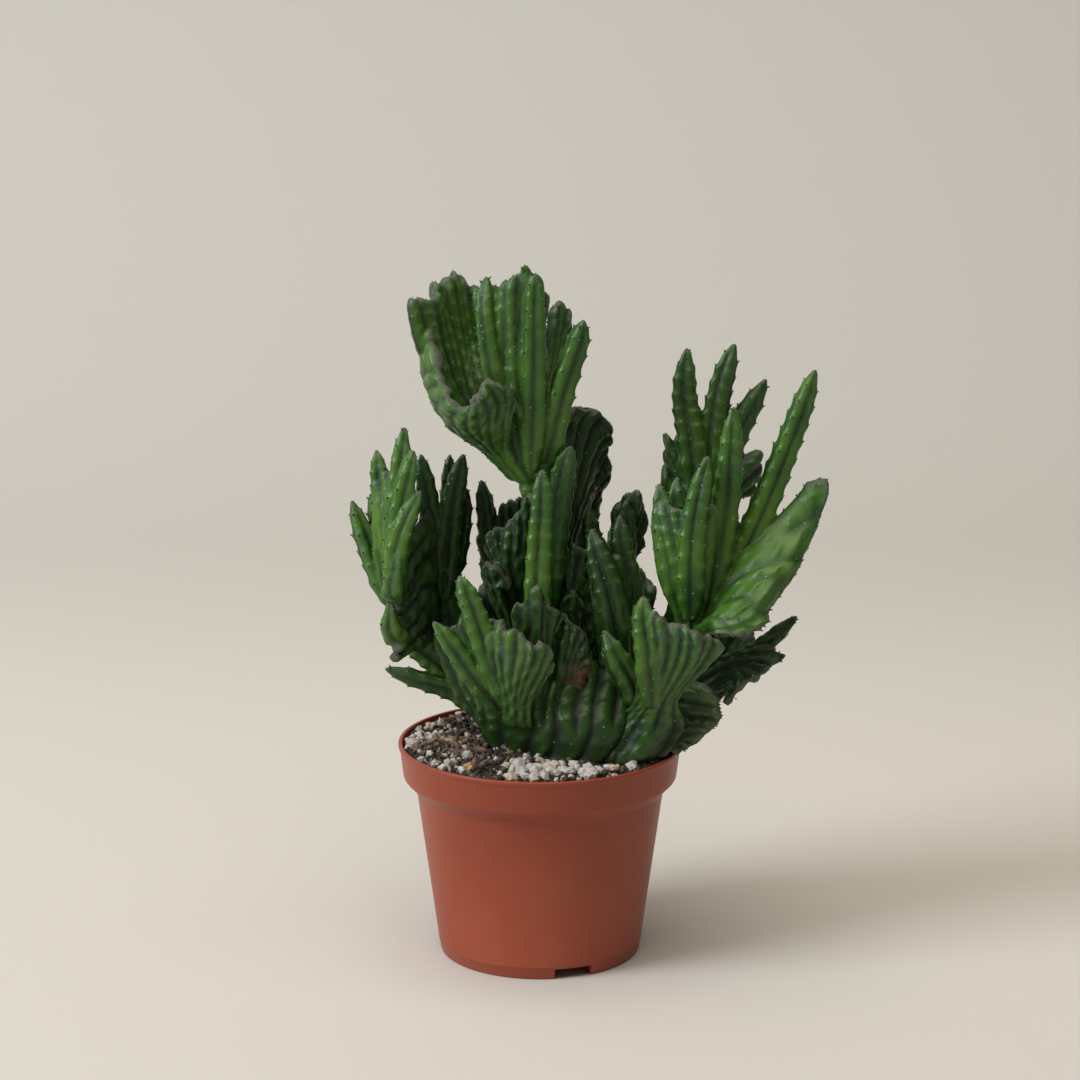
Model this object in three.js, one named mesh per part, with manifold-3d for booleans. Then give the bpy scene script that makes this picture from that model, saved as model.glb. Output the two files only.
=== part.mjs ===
// A crested stapelia in a round nursery pot. Millimetres, +Z up, -Y is the front.
// The origin is the middle of the pot's underside, on the surface that the pot stands on.
import * as THREE from 'three';
import { mergeVertices } from 'three/addons/utils/BufferGeometryUtils.js';
import Module from 'manifold-3d';

const wasm = await Module();
wasm.setup();

const gap = 0.4; // clearance between neighbours that touch
const tolerance = 0.5; // how far the faceting may leave the curved surface

const pot = {
  height: 91.5,
  rimRadius: 60, // outside, at the top edge
  rimRound: 0.8, // rounding of the top edge
  bandHeight: 14, // the thick band under the rim
  bandFootRadius: 58.2,
  shoulderHeight: 6.2, // slope from the band in to the wall
  shoulderRound: 0.6,
  wallTopRadius: 52.4,
  baseRadius: 42.6,
  baseRound: 1,
  wall: 1.2,
  floorThickness: 1.5,
  ringWidth: 5, // foot ring that the pot stands on
  bossRadius: 12, // flat boss in the middle of the underside
  channelHeight: 4.5, // drain channel between boss and ring
  draft: 1.5, // lean of the channel's sides
  notches: 3, // slots through the foot ring
  notchWidth: 16,
  notchHeight: 4.6,
  notchAngle: -71, // degrees from +X of the first one
  drainHoles: 6,
  drainRadius: 3,
  drainCircle: 25,
  sides: 40,
};
pot.bandFoot = pot.height - pot.bandHeight;
pot.wallTop = pot.bandFoot - pot.shoulderHeight;
pot.floor = pot.channelHeight + pot.floorThickness;

const soil = {
  rimDrop: 1.6, // how far the soil's edge lies under the rim
  moundHeight: 5,
  mound: [[50, 0.4], [30, 0.85], [0, 1]], // radius, and height as a part of moundHeight
  sides: 24,
};

const sheetDefaults = { thick: 6, depth: 1.2, lobe: 2 };
const ribsPerFold = 2; // the sheets here carry one fold for two of the plant's ribs
const sheetSteps = 4; // stations from the foot of a sheet to its crest
const crestTaper = [1, 1, 1, 0.9, 0]; // thickness factor at each station
const grooveShare = 0.15; // deepest groove, as a part of the width across two columns
const fingerSides = 8; // a ridge at every second one
const fingerSteps = 5;
const fingerTaper = [1.3, 1.15, 1.05, 0.9, 0.6]; // width factor at each station
const fingerGroove = 0.8; // radius in a groove, as a part of the radius on a ridge
const tipBack = 0.04; // the last station lies this far before the tip

const finishes = {
  pot: { color: 0xa84a33, roughness: 0.5 },
  soil: { color: 0x3a2f28, roughness: 0.95 },
  perlite: { color: 0xd9d6ce, roughness: 0.9 },
  gravel: { color: 0xb08a5c, roughness: 0.8 },
  bark: { color: 0x6e5138, roughness: 0.9 },
  bright: { color: 0x3f7a2c, roughness: 0.55 },
  mid: { color: 0x2c5a2a, roughness: 0.55 },
  dark: { color: 0x1d3d24, roughness: 0.55 },
};

// A closed geometry as a solid with its faces turned out.
function solidOf(geometry) {
  const bare = new THREE.BufferGeometry();
  bare.setAttribute('position', geometry.getAttribute('position').clone());
  if (geometry.index) bare.setIndex(geometry.index.clone());
  const merged = mergeVertices(bare, 1e-3);
  const made = new wasm.Manifold(new wasm.Mesh({
    numProp: 3,
    vertProperties: new Float32Array(merged.getAttribute('position').array),
    triVerts: new Uint32Array(merged.index.array),
  }));
  if (made.volume() > 0) return made;
  return solidOf(turnedOver(merged));
}

function turnedOver(geometry) {
  const index = geometry.index.array.slice();
  for (let i = 0; i < index.length; i += 3) [index[i + 1], index[i + 2]] = [index[i + 2], index[i + 1]];
  return geometry.clone().setIndex(new THREE.BufferAttribute(index, 1));
}

function geometryOf(solid) {
  const mesh = solid.getMesh();
  const position = new Float32Array(mesh.numVert * 3);
  for (let i = 0; i < mesh.numVert; i++) {
    position.set(mesh.vertProperties.subarray(i * mesh.numProp, i * mesh.numProp + 3), i * 3);
  }
  const geometry = new THREE.BufferGeometry();
  geometry.setAttribute('position', new THREE.BufferAttribute(position, 3));
  geometry.setIndex(new THREE.BufferAttribute(new Uint32Array(mesh.triVerts), 1));
  geometry.computeVertexNormals();
  return geometry;
}

function indexed(points, faces) {
  const geometry = new THREE.BufferGeometry().setFromPoints(points);
  return geometry.setIndex(faces);
}

// The solid with every corner moved out along its normal.
function swollen(solid, by) {
  const geometry = geometryOf(solid);
  const position = geometry.getAttribute('position');
  const normal = geometry.getAttribute('normal');
  for (let i = 0; i < position.count; i++) {
    position.setXYZ(
      i,
      position.getX(i) + normal.getX(i) * by,
      position.getY(i) + normal.getY(i) * by,
      position.getZ(i) + normal.getZ(i) * by,
    );
  }
  return solidOf(geometry);
}

function largest(solid) {
  const bodies = solid.decompose();
  return bodies.reduce((best, body) => (body.volume() > best.volume() ? body : best));
}

const vector = ([x, y, z]) => new THREE.Vector3(x, y, z);
const curve = (points) => new THREE.CatmullRomCurve3(points, false, 'catmullrom', 0.5);

// A ribbed sheet. Its rows of points run across it, from its foot to its crest.
function sheet(shape) {
  const { rows, ribs, thick, depth, lobe } = { ...sheetDefaults, ...shape };
  const across = rows.map((row) => curve(row.map(vector)));
  const columns = 2 * Math.round(ribs / ribsPerFold); // a groove, a fold, a groove and so on
  const middle = [];
  for (let i = 0; i <= columns; i++) {
    const rail = curve(across.map((row) => row.getPoint(i / columns)));
    const inGroove = i % 2 === 0 ? lobe / rail.getLength() : 0;
    middle.push(Array.from({ length: sheetSteps + 1 }, (_, j) => {
      const along = j / sheetSteps;
      return rail.getPoint(along * (1 - inGroove * along));
    }));
  }
  const points = [];
  const front = [];
  const back = [];
  for (let i = 0; i <= columns; i++) {
    front.push([]);
    back.push([]);
    for (let j = 0; j <= sheetSteps; j++) {
      const side = middle[Math.min(i + 1, columns)][j].clone().sub(middle[Math.max(i - 1, 0)][j]);
      const rise = middle[i][Math.min(j + 1, sheetSteps)].clone().sub(middle[i][Math.max(j - 1, 0)]);
      const normal = side.clone().cross(rise).normalize();
      const border = i === 0 || i === columns;
      const groove = i % 2 === 0 ? Math.min(depth, side.length() * grooveShare) : 0;
      const half = border ? 0 : (thick / 2 - groove) * crestTaper[j];
      front[i].push(points.push(middle[i][j].clone().addScaledVector(normal, half)) - 1);
      if (half > 0) points.push(middle[i][j].clone().addScaledVector(normal, -half));
      back[i].push(points.length - 1);
    }
  }
  const faces = [];
  for (let i = 0; i < columns; i++) {
    for (let j = 0; j < sheetSteps; j++) {
      quad(faces, front[i][j], front[i + 1][j], front[i + 1][j + 1], front[i][j + 1]);
      quad(faces, back[i + 1][j], back[i][j], back[i][j + 1], back[i + 1][j + 1]);
    }
    quad(faces, back[i][0], back[i + 1][0], front[i + 1][0], front[i][0]);
  }
  return solidOf(indexed(points, faces));
}

function quad(faces, a, b, c, d) {
  for (const [p, q, r] of [[a, b, c], [a, c, d]]) {
    if (p !== q && q !== r && r !== p) faces.push(p, q, r);
  }
}

// A four-ridged finger along a path, from where it is rooted to its blunt tip.
function finger({ width, path, flat = 0.8, face = [0, -1, 0] }) {
  const line = curve(path.map(vector));
  const points = [line.getPoint(0)];
  for (let j = 0; j < fingerSteps; j++) {
    const along = (j / (fingerSteps - 1)) * (1 - tipBack);
    const centre = line.getPoint(along);
    const side = line.getTangent(along).cross(vector(face)).normalize();
    const out = side.clone().cross(line.getTangent(along)).normalize();
    for (let i = 0; i < fingerSides; i++) {
      const angle = (2 * Math.PI * i) / fingerSides;
      const radius = (width / 2) * fingerTaper[j] * (i % 2 === 0 ? fingerGroove : 1);
      points.push(centre.clone()
        .addScaledVector(side, radius * Math.cos(angle))
        .addScaledVector(out, radius * flat * Math.sin(angle)));
    }
  }
  const tip = points.push(line.getPoint(1)) - 1;
  const faces = [];
  for (let i = 0; i < fingerSides; i++) {
    const next = (i + 1) % fingerSides;
    faces.push(0, 1 + next, 1 + i);
    for (let j = 0; j < fingerSteps - 1; j++) {
      const ring = 1 + j * fingerSides;
      quad(faces, ring + i, ring + next, ring + fingerSides + next, ring + fingerSides + i);
    }
    const last = 1 + (fingerSteps - 1) * fingerSides;
    faces.push(last + i, last + next, tip);
  }
  return solidOf(indexed(points, faces));
}

// The stems, each grown from the crown. Points and widths are in millimetres.
const stems = {
  crown: {
    tone: 'mid',
    sheets: [
      { ribs: 8, thick: 15, depth: 1.6, lobe: 2, rows: [
        [[-14, -4, 82], [6, -14, 82], [30, -14, 82], [50, -8, 82]],
        [[-12, -2, 104], [6, -8, 108], [28, -8, 108], [50, -4, 106]],
        [[-10, 4, 122], [6, 4, 130], [26, 4, 132], [46, 4, 124]],
      ] },
      { ribs: 8, thick: 15, depth: 1.6, lobe: 2, rows: [
        [[52, 4, 82], [38, 22, 82], [10, 24, 82], [-14, 12, 82]],
        [[54, 6, 104], [38, 22, 108], [10, 24, 108], [-14, 14, 104]],
        [[50, 8, 118], [36, 18, 128], [12, 20, 130], [-10, 12, 120]],
      ] },
      { ribs: 10, thick: 8, depth: 1.4, lobe: 1, rows: [
        [[-20, -2, 84], [-12, -14, 84], [-2, -22, 84], [8, -28, 84], [20, -31, 84]],
        [[-24, -8, 102], [-13, -22, 104], [2, -28, 105], [18, -31, 104], [34, -29, 101]],
        [[-25, -12, 112], [-14, -25, 115], [3, -25, 116], [20, -23, 116], [38, -21, 113]],
        [[-24, -10, 120], [-13, -20, 125], [5, -14, 128], [22, -8, 131], [40, -6, 128]],
      ] },
    ],
    fingers: [
      { width: 36, flat: 0.9, path: [[6, 5, 82], [6, 5, 98], [8, 5, 116]] },
      { width: 36, flat: 0.9, path: [[30, 5, 82], [30, 5, 98], [28, 5, 116]] },
    ],
  },
  crest_front: {
    tone: 'bright',
    sheets: [
      { ribs: 8, thick: 6.5, depth: 1.5, lobe: 1.5, rows: [
        [[-15, -25, 106], [-9, -29, 106], [-3, -29, 106]],
        [[-15, -31, 119], [-9, -34, 120], [-3, -33, 119]],
        [[-20, -34, 131], [-12, -39, 134], [-3, -40, 135], [3, -35, 131]],
        [
          [-24, -36, 144], [-20, -39, 151], [-16, -43, 155], [-12, -46, 155], [-8, -47, 152],
          [-4, -46, 149], [1, -45, 148], [4, -42, 146], [5, -38, 140], [2, -35, 133],
        ],
      ] },
    ],
    fingers: [
      {
        width: 10.5, flat: 0.85,
        path: [[-10, -26, 108], [-22, -36, 141], [-28, -38, 160], [-33, -38, 173]],
      },
      { width: 9.5, flat: 0.8, path: [[-13, -24, 110], [-26, -31, 127], [-35, -34, 141], [-44, -35, 153]] },
    ],
  },
  crest_front_right: {
    tone: 'bright',
    sheets: [
      { ribs: 9, thick: 6.5, depth: 1.5, lobe: 1.5, rows: [
        [[20, -28, 91], [34, -33, 90], [52, -26, 92]],
        [[30, -21, 106], [43, -29, 105], [60, -23, 105]],
        [[39, -27, 118], [48, -31, 119], [57, -27, 119]],
        [[40, -36, 138], [49, -41, 140], [60, -41, 139], [69, -36, 135]],
        [
          [39, -38, 155], [43, -42, 162], [47, -44, 161], [50, -46, 158], [57, -47, 157],
          [62, -47, 155], [68, -46, 151], [73, -43, 148], [77, -40, 145],
        ],
      ] },
    ],
    fingers: [
      { width: 10.5, flat: 0.8, path: [[46, -32, 116], [44, -41, 142], [42, -41, 155], [42, -40, 165]] },
    ],
  },
  crest_low_right: {
    tone: 'dark',
    sheets: [
      { ribs: 8, thick: 6, lobe: 2.5, rows: [
        [[27, -8, 106], [30, -12, 97], [34, -16, 94]],
        [[59, 0, 121], [63, -6, 114], [59, -14, 108]],
        [[84, 5, 130], [82, 2, 124], [79, -4, 115]],
        [
          [106, 8, 141], [100, 6, 133], [102, 2, 128], [99, 0, 123], [93, -4, 120], [82, -10, 115],
          [75, -14, 111],
        ],
      ] },
      { ribs: 8, thick: 7, depth: 1.3, lobe: 1, rows: [
        [[12, -20, 94], [16, -26, 93], [22, -31, 92]],
        [[30, -13, 112], [40, -21, 108], [43, -30, 95]],
        [[50, -10, 123], [61, -16, 116], [63, -18, 105], [58, -22, 97], [52, -25, 95]],
        [
          [73, -18, 120], [77, -19, 116], [77, -20, 110], [74, -21, 103], [68, -22, 99],
          [63, -23, 96], [58, -22, 95],
        ],
      ] },
    ],
    fingers: [
      { width: 8.5, flat: 0.7, path: [[68, 2, 119], [91, 6, 129], [109, 8, 144]] },
      { width: 8, flat: 0.7, path: [[68, 0, 114], [90, 3, 124], [104, 3, 128]] },
    ],
  },
  crest_right: {
    tone: 'bright',
    sheets: [
      { ribs: 7, thick: 6, depth: 1.3, lobe: 2, rows: [
        [[48, -6, 100], [61, -8, 101]],
        [[58, -10, 138], [67, -14, 139]],
        [[49, -10, 166], [57, -16, 174], [66, -16, 174], [77, -10, 166]],
        [
          [46, -8, 188], [49, -9, 200], [54, -12, 198], [62, -16, 197], [68, -14, 199],
          [75, -8, 198], [84, -2, 189],
        ],
      ] },
      { ribs: 7, thick: 5, depth: 0.8, lobe: 1.2, rows: [
        [[66, -12, 143], [65, -15, 141], [62, -18, 140]],
        [[82, -6, 172], [84, -14, 167], [80, -22, 158], [74, -26, 153], [68, -26, 147]],
        [
          [103, -2, 194], [106, -8, 184], [100, -18, 171], [92, -26, 161], [85, -31, 155],
          [78, -32, 152], [70, -31, 149],
        ],
        [
          [113, 0, 206], [121, 2, 207], [121, 0, 197], [116, -4, 185], [111, -10, 176],
          [106, -16, 167], [100, -20, 158], [96, -25, 154], [95, -30, 149], [91, -34, 146],
          [84, -37, 147], [77, -37, 146], [70, -34, 145],
        ],
      ] },
    ],
    fingers: [
      { width: 10.5, flat: 0.7, path: [[60, -14, 148], [53, -12, 182], [49, -8, 205]] },
      { width: 11, flat: 0.8, path: [[62, -18, 149], [63, -18, 187], [69, -14, 218]] },
      { width: 11.5, flat: 0.8, path: [[69, -12, 152], [77, -8, 198], [80, -6, 237]] },
      { width: 7.5, flat: 0.8, path: [[58, -4, 171], [57, -2, 192], [57, 0, 206]] },
      { width: 11, flat: 0.8, path: [[67, -10, 145], [87, -4, 180], [102, 0, 217], [114, 2, 251]] },
      { width: 15, flat: 0.7, path: [[42, -2, 94], [48, -6, 111], [56, -10, 129], [62, -14, 152]] },
    ],
  },
  crest_top: {
    tone: 'bright',
    sheets: [
      { ribs: 8, thick: 6, depth: 1.3, lobe: 3, rows: [
        [[-8, 12, 202], [-4, 14, 200], [0, 15, 202]],
        [[-33, 12, 227], [-27, 19, 229], [-18, 22, 233]],
        [[-49, 15, 253], [-41, 26, 257], [-32, 35, 256], [-23, 36, 256]],
        [
          [-56, 17, 277], [-52, 20, 280], [-47, 26, 279], [-44, 32, 284], [-39, 37, 288],
          [-35, 40, 286], [-30, 41, 283], [-24, 39, 281],
        ],
      ] },
      { ribs: 8, thick: 6, depth: 1.3, lobe: 3, rows: [
        [[-8, 4, 203], [-4, 1, 201], [1, 4, 203]],
        [[-18, 3, 236], [-10, -4, 239], [1, 0, 240]],
        [[-24, 9, 262], [-14, -3, 267], [2, 3, 267]],
        [
          [-28, 15, 281], [-24, 11, 286], [-20, 6, 288], [-17, 1, 287], [-13, -2, 293],
          [-8, -4, 295], [-4, -4, 295], [0, -1, 292], [3, 5, 281],
        ],
      ] },
      { ribs: 12, thick: 5.5, depth: 1.1, lobe: 1, rows: [
        [[-10, 6, 203], [-6, 3, 202], [-2, -1, 203]],
        [[-24, 10, 217], [-19, 3, 217], [-11, -4, 219]],
        [[-40, 17, 231], [-35, 6, 226], [-26, -4, 225], [-18, -9, 228], [-11, -10, 232]],
        [
          [-48, 22, 259], [-47, 19, 250], [-45, 11, 241], [-40, 3, 235], [-34, -5, 232],
          [-28, -10, 231], [-23, -13, 236], [-18, -13, 241], [-14, -11, 242], [-9, -8, 239],
        ],
        [
          [-44, 20, 266], [-42, 13, 259], [-41, 5, 249], [-38, -3, 243], [-35, -9, 240],
          [-30, -14, 238], [-28, -18, 241], [-27, -19, 245], [-24, -19, 249], [-20, -18, 250],
          [-16, -15, 248], [-11, -11, 244],
        ],
      ] },
      { ribs: 5, thick: 5.5, lobe: 2, rows: [
        [[-3, 14, 206], [3, 16, 207]],
        [[1, 20, 239], [8, 24, 243]],
        [[4, 24, 275], [7, 27, 278], [11, 30, 276], [14, 31, 273], [14, 30, 262], [11, 30, 253]],
      ] },
    ],
    fingers: [
      {
        width: 10.5, flat: 0.7,
        path: [[-1, 4, 204], [4, 0, 221], [9, -4, 243], [15, -6, 262], [18, -6, 273]],
      },
      { width: 9.5, flat: 0.6, path: [[-3, -2, 209], [-2, -6, 239], [-2, -7, 273], [-2, -6, 292]] },
      { width: 8.5, flat: 0.6, path: [[-7, 0, 213], [-10, -4, 247], [-8, -4, 272], [-6, -5, 296]] },
      { width: 8.5, flat: 0.6, path: [[-10, 0, 217], [-18, -4, 247], [-22, -4, 272], [-22, 2, 290]] },
      { width: 17, flat: 0.7, path: [[8, 6, 101], [7, 8, 133], [4, 8, 168], [-1, 4, 199], [-5, 2, 230]] },
    ],
  },
  crest_left: {
    tone: 'bright',
    sheets: [
      { ribs: 6, thick: 5.5, lobe: 2, rows: [
        [[-54, 4, 134], [-58, -8, 138]],
        [[-62, 0, 153], [-58, -8, 155]],
        [[-66, -2, 179], [-63, -8, 185], [-60, -10, 185], [-56, -8, 183]],
        [[-68, 2, 204], [-66, 0, 209], [-61, -4, 212], [-56, -4, 214], [-53, -4, 209]],
      ] },
      { ribs: 7, thick: 5.5, lobe: 1.5, rows: [
        [[-46, 12, 190], [-44, 12, 168], [-44, 12, 148], [-45, 8, 129]],
        [[-52, 3, 184], [-52, 2, 166], [-52, 0, 149], [-53, -1, 131]],
        [
          [-58, -10, 177], [-59, -13, 168], [-60, -14, 158], [-62, -15, 150], [-62, -15, 141],
          [-63, -15, 134], [-61, -12, 127],
        ],
      ] },
    ],
    fingers: [
      { width: 8.5, flat: 0.75, path: [[-64, -2, 158], [-66, 0, 196], [-68, 2, 217]] },
      { width: 9.5, flat: 0.8, path: [[-61, -8, 159], [-59, -8, 198], [-56, -4, 228]] },
      { width: 9.5, flat: 0.8, path: [[-61, -12, 160], [-58, -12, 194], [-52, -8, 219]] },
      { width: 9, flat: 0.8, path: [[-61, -14, 156], [-58, -16, 182], [-49, -12, 203]] },
      { width: 9.5, flat: 0.8, path: [[-61, 2, 148], [-68, 3, 165], [-73, 4, 178], [-79, 5, 195]] },
      { width: 7, flat: 0.8, path: [[-62, 8, 151], [-67, 8, 177], [-71, 8, 197]] },
      { width: 9, flat: 0.9, path: [[-61, -9, 156], [-60, -16, 165], [-58, -19, 180]] },
      { width: 9, flat: 0.9, path: [[-59, -7, 138], [-62, -14, 145], [-62, -19, 158]] },
      {
        width: 12.5, flat: 0.7,
        path: [[-8, 4, 93], [-25, 8, 107], [-42, 8, 123], [-53, 4, 134], [-59, -2, 153]],
      },
    ],
  },
  stem_centre: {
    tone: 'bright',
    fingers: [
      {
        width: 10.5, flat: 0.85,
        path: [[1, -18, 119], [-1, -18, 153], [0, -16, 182], [1, -15, 199], [1, -14, 212]],
      },
    ],
  },
  crest_lower_left: {
    tone: 'mid',
    sheets: [
      { ribs: 8, thick: 6.5, depth: 1.3, lobe: 2, rows: [
        [[-14, -4, 90], [-10, -10, 89], [-6, -16, 89]],
        [[-35, 2, 111], [-24, -8, 115], [-14, -18, 114]],
        [[-46, 0, 139], [-40, -6, 144], [-31, -12, 151], [-21, -16, 151], [-14, -20, 148]],
      ] },
    ],
    fingers: [
      { width: 8.5, flat: 0.7, path: [[-21, 0, 102], [-36, 4, 112], [-51, 4, 117], [-66, 4, 122]] },
    ],
  },
  crest_curl: {
    tone: 'mid',
    sheets: [
      { ribs: 6, thick: 6, lobe: 2, rows: [
        [[-7, -20, 120], [2, -20, 120]],
        [[-10, -24, 142], [-2, -28, 142], [5, -24, 142]],
        [
          [-12, -24, 154], [-10, -26, 160], [-5, -28, 161], [-2, -33, 169], [0, -33, 170],
          [2, -28, 160], [7, -22, 156], [10, -20, 151],
        ],
      ] },
    ],
  },
  crest_front_back: {
    tone: 'dark',
    sheets: [
      { ribs: 9, thick: 6.5, lobe: 1.5, rows: [
        [[-1, -16, 90], [7, -18, 88], [16, -18, 88]],
        [[0, -16, 114], [9, -20, 115], [19, -20, 113]],
        [[3, -18, 140], [10, -24, 140], [15, -24, 133], [17, -22, 124]],
        [
          [4, -14, 154], [9, -18, 153], [14, -22, 150], [19, -24, 146], [21, -24, 139],
          [21, -22, 129], [18, -20, 120],
        ],
      ] },
    ],
  },
  stem_low_front: {
    tone: 'mid',
    fingers: [
      { width: 11, flat: 0.75, path: [[42, -20, 110], [37, -26, 125], [31, -28, 136], [26, -26, 147]] },
    ],
  },
  crest_inner_right: {
    tone: 'dark',
    sheets: [
      { ribs: 5, thick: 6.5, lobe: 2, rows: [
        [[25, -12, 117], [40, -12, 117]],
        [[22, -12, 147], [30, -14, 151], [39, -10, 149]],
        [[20, -10, 173], [26, -12, 177], [33, -8, 176], [39, -6, 172]],
      ] },
      { ribs: 4, thick: 6, lobe: 2, rows: [
        [[14, -2, 121], [24, 2, 122]],
        [[11, 0, 153], [18, 2, 152]],
        [[10, 2, 169], [12, 2, 176], [15, 2, 178], [18, 4, 175], [20, 4, 167]],
      ] },
      { ribs: 3, thick: 6, lobe: 2, rows: [
        [[13, -8, 116], [21, -8, 116]],
        [[10, -7, 142], [18, -7, 142]],
        [[9, -6, 155], [13, -6, 160], [16, -6, 157], [19, -6, 152]],
      ] },
    ],
    fingers: [
      { width: 11.5, flat: 0.8, path: [[35, -14, 126], [30, -17, 157], [25, -16, 174], [21, -14, 187]] },
      { width: 10.5, flat: 0.8, path: [[39, -8, 129], [37, -10, 160], [34, -8, 176], [33, -6, 191]] },
      { width: 8.5, flat: 0.8, path: [[29, 0, 131], [25, 2, 161], [22, 4, 178], [20, 4, 191]] },
      { width: 15, flat: 0.7, path: [[27, 0, 100], [28, -2, 119], [29, -4, 137], [28, -4, 158]] },
    ],
  },
  crest_mid: {
    tone: 'dark',
    sheets: [
      { ribs: 7, thick: 6.5, lobe: 2, rows: [
        [[-10, 0, 135], [-1, 0, 135]],
        [[-18, -4, 166], [-11, -6, 169], [-2, -4, 171]],
        [
          [-23, 0, 174], [-22, -2, 183], [-18, -4, 187], [-14, -6, 189], [-10, -6, 193],
          [-7, -6, 198], [-5, -6, 203], [-1, -4, 202],
        ],
      ] },
      { ribs: 4, thick: 6, lobe: 2, rows: [
        [[-13, -6, 135], [-8, -6, 135]],
        [[-22, -8, 159], [-15, -10, 160]],
        [[-25, -8, 166], [-23, -10, 173], [-19, -12, 173], [-15, -12, 167], [-12, -12, 158]],
      ] },
    ],
  },
  stem_upper: {
    tone: 'mid',
    sheets: [
      { ribs: 4, thick: 6, lobe: 2, rows: [
        [[3, 0, 181], [8, 2, 182]],
        [[6, -2, 200], [13, 2, 200]],
        [[9, -4, 211], [13, -4, 218], [15, -2, 213], [15, 0, 205], [12, 2, 198]],
      ] },
    ],
    fingers: [
      {
        width: 11, flat: 0.7,
        path: [[5, 2, 148], [5, 0, 170], [7, -2, 190], [10, -3, 209], [13, -4, 220]],
      },
    ],
  },
  crest_back_right: {
    tone: 'dark',
    sheets: [
      { ribs: 9, thick: 6, lobe: 2, rows: [
        [[2, 14, 160], [8, 18, 153]],
        [[5, 14, 193], [14, 18, 190], [19, 24, 185]],
        [[7, 14, 223], [15, 18, 224], [23, 26, 216], [23, 30, 198], [20, 32, 189]],
        [
          [9, 14, 226], [14, 16, 233], [20, 20, 230], [25, 24, 230], [31, 28, 223], [31, 31, 215],
          [29, 32, 209], [31, 33, 202], [28, 34, 193], [22, 34, 183],
        ],
      ] },
    ],
    fingers: [
      { width: 14, flat: 0.7, path: [[15, 14, 105], [11, 16, 131], [6, 16, 160], [5, 15, 184]] },
    ],
  },
  crest_left_back: {
    tone: 'dark',
    sheets: [
      { ribs: 6, thick: 6.5, lobe: 2, rows: [
        [[-43, 17, 128], [-36, 18, 128]],
        [[-48, 15, 154], [-41, 17, 152], [-34, 18, 154]],
        [[-49, 14, 193], [-46, 16, 192], [-39, 18, 194], [-33, 18, 192], [-31, 20, 185]],
      ] },
    ],
    fingers: [
      { width: 9.5, flat: 0.8, path: [[-43, 16, 149], [-46, 15, 184], [-50, 13, 213]] },
      { width: 10, flat: 0.8, path: [[-40, 16, 149], [-37, 15, 188], [-32, 13, 213]] },
      { width: 7.5, flat: 0.8, path: [[-40, 22, 156], [-39, 22, 187], [-38, 22, 211]] },
      { width: 7, flat: 0.8, path: [[-37, 20, 156], [-33, 20, 178], [-31, 20, 197]] },
      { width: 15, flat: 0.7, path: [[-4, 14, 90], [-17, 15, 105], [-32, 16, 126], [-41, 17, 158]] },
    ],
  },
  crest_right_back: {
    tone: 'mid',
    sheets: [
      { ribs: 9, thick: 6.5, lobe: 3, rows: [
        [[59, 14, 149], [70, 14, 149]],
        [[58, 18, 183], [70, 20, 187], [81, 24, 186]],
        [
          [49, 20, 198], [51, 22, 208], [52, 24, 214], [51, 26, 222], [58, 28, 221], [68, 30, 215],
          [81, 30, 215], [93, 32, 213], [96, 32, 208], [94, 32, 198], [89, 30, 191],
        ],
      ] },
    ],
    fingers: [
      { width: 11.5, flat: 0.8, path: [[68, 18, 183], [64, 24, 216], [61, 28, 235], [62, 30, 255]] },
      { width: 10.5, flat: 0.8, path: [[70, 20, 183], [73, 26, 216], [76, 28, 237], [82, 30, 257]] },
      { width: 10.5, flat: 0.8, path: [[73, 24, 186], [82, 30, 215], [96, 34, 241]] },
      {
        width: 15, flat: 0.7,
        path: [[36, 12, 90], [45, 14, 110], [56, 14, 132], [66, 14, 158], [68, 18, 187]],
      },
    ],
  },
  crest_mid_back: {
    tone: 'dark',
    sheets: [
      { ribs: 6, thick: 6.5, lobe: 2, rows: [
        [[-17, 24, 125], [-6, 22, 125]],
        [[-23, 26, 155], [-15, 26, 157], [-6, 24, 158]],
        [[-28, 28, 174], [-25, 28, 179], [-18, 28, 185], [-14, 26, 192], [-9, 24, 193], [-4, 22, 191]],
      ] },
    ],
    fingers: [
      { width: 8.5, flat: 0.8, path: [[-19, 28, 146], [-22, 27, 177], [-25, 26, 199]] },
      { width: 12, flat: 0.7, path: [[4, 22, 96], [-4, 24, 111], [-12, 24, 129], [-16, 26, 151]] },
    ],
  },
  crest_inner_back: {
    tone: 'dark',
    sheets: [
      { ribs: 6, thick: 6, lobe: 2, rows: [
        [[32, 10, 133], [41, 10, 133]],
        [[31, 12, 163], [39, 12, 163]],
        [[31, 8, 191], [34, 10, 196], [39, 10, 200], [44, 12, 197], [44, 14, 186], [41, 14, 173]],
      ] },
    ],
    fingers: [
      { width: 10, flat: 0.7, path: [[35, 8, 151], [35, 6, 177], [36, 4, 195]] },
      { width: 14, flat: 0.7, path: [[30, 14, 96], [33, 14, 114], [36, 12, 132], [36, 10, 155]] },
    ],
  },
  crest_rear_left: {
    tone: 'mid',
    sheets: [
      { ribs: 9, thick: 6.5, lobe: 2.5, rows: [
        [[12, 28, 88], [-2, 26, 88], [-14, 14, 88]],
        [[6, 40, 116], [-12, 36, 118], [-24, 20, 114]],
        [[12, 58, 140], [0, 58, 150], [-14, 50, 155], [-26, 38, 152], [-34, 26, 144], [-36, 14, 134]],
      ] },
    ],
    fingers: [
      {
        face: [0, 1, 0], width: 10.5, flat: 0.8,
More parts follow.
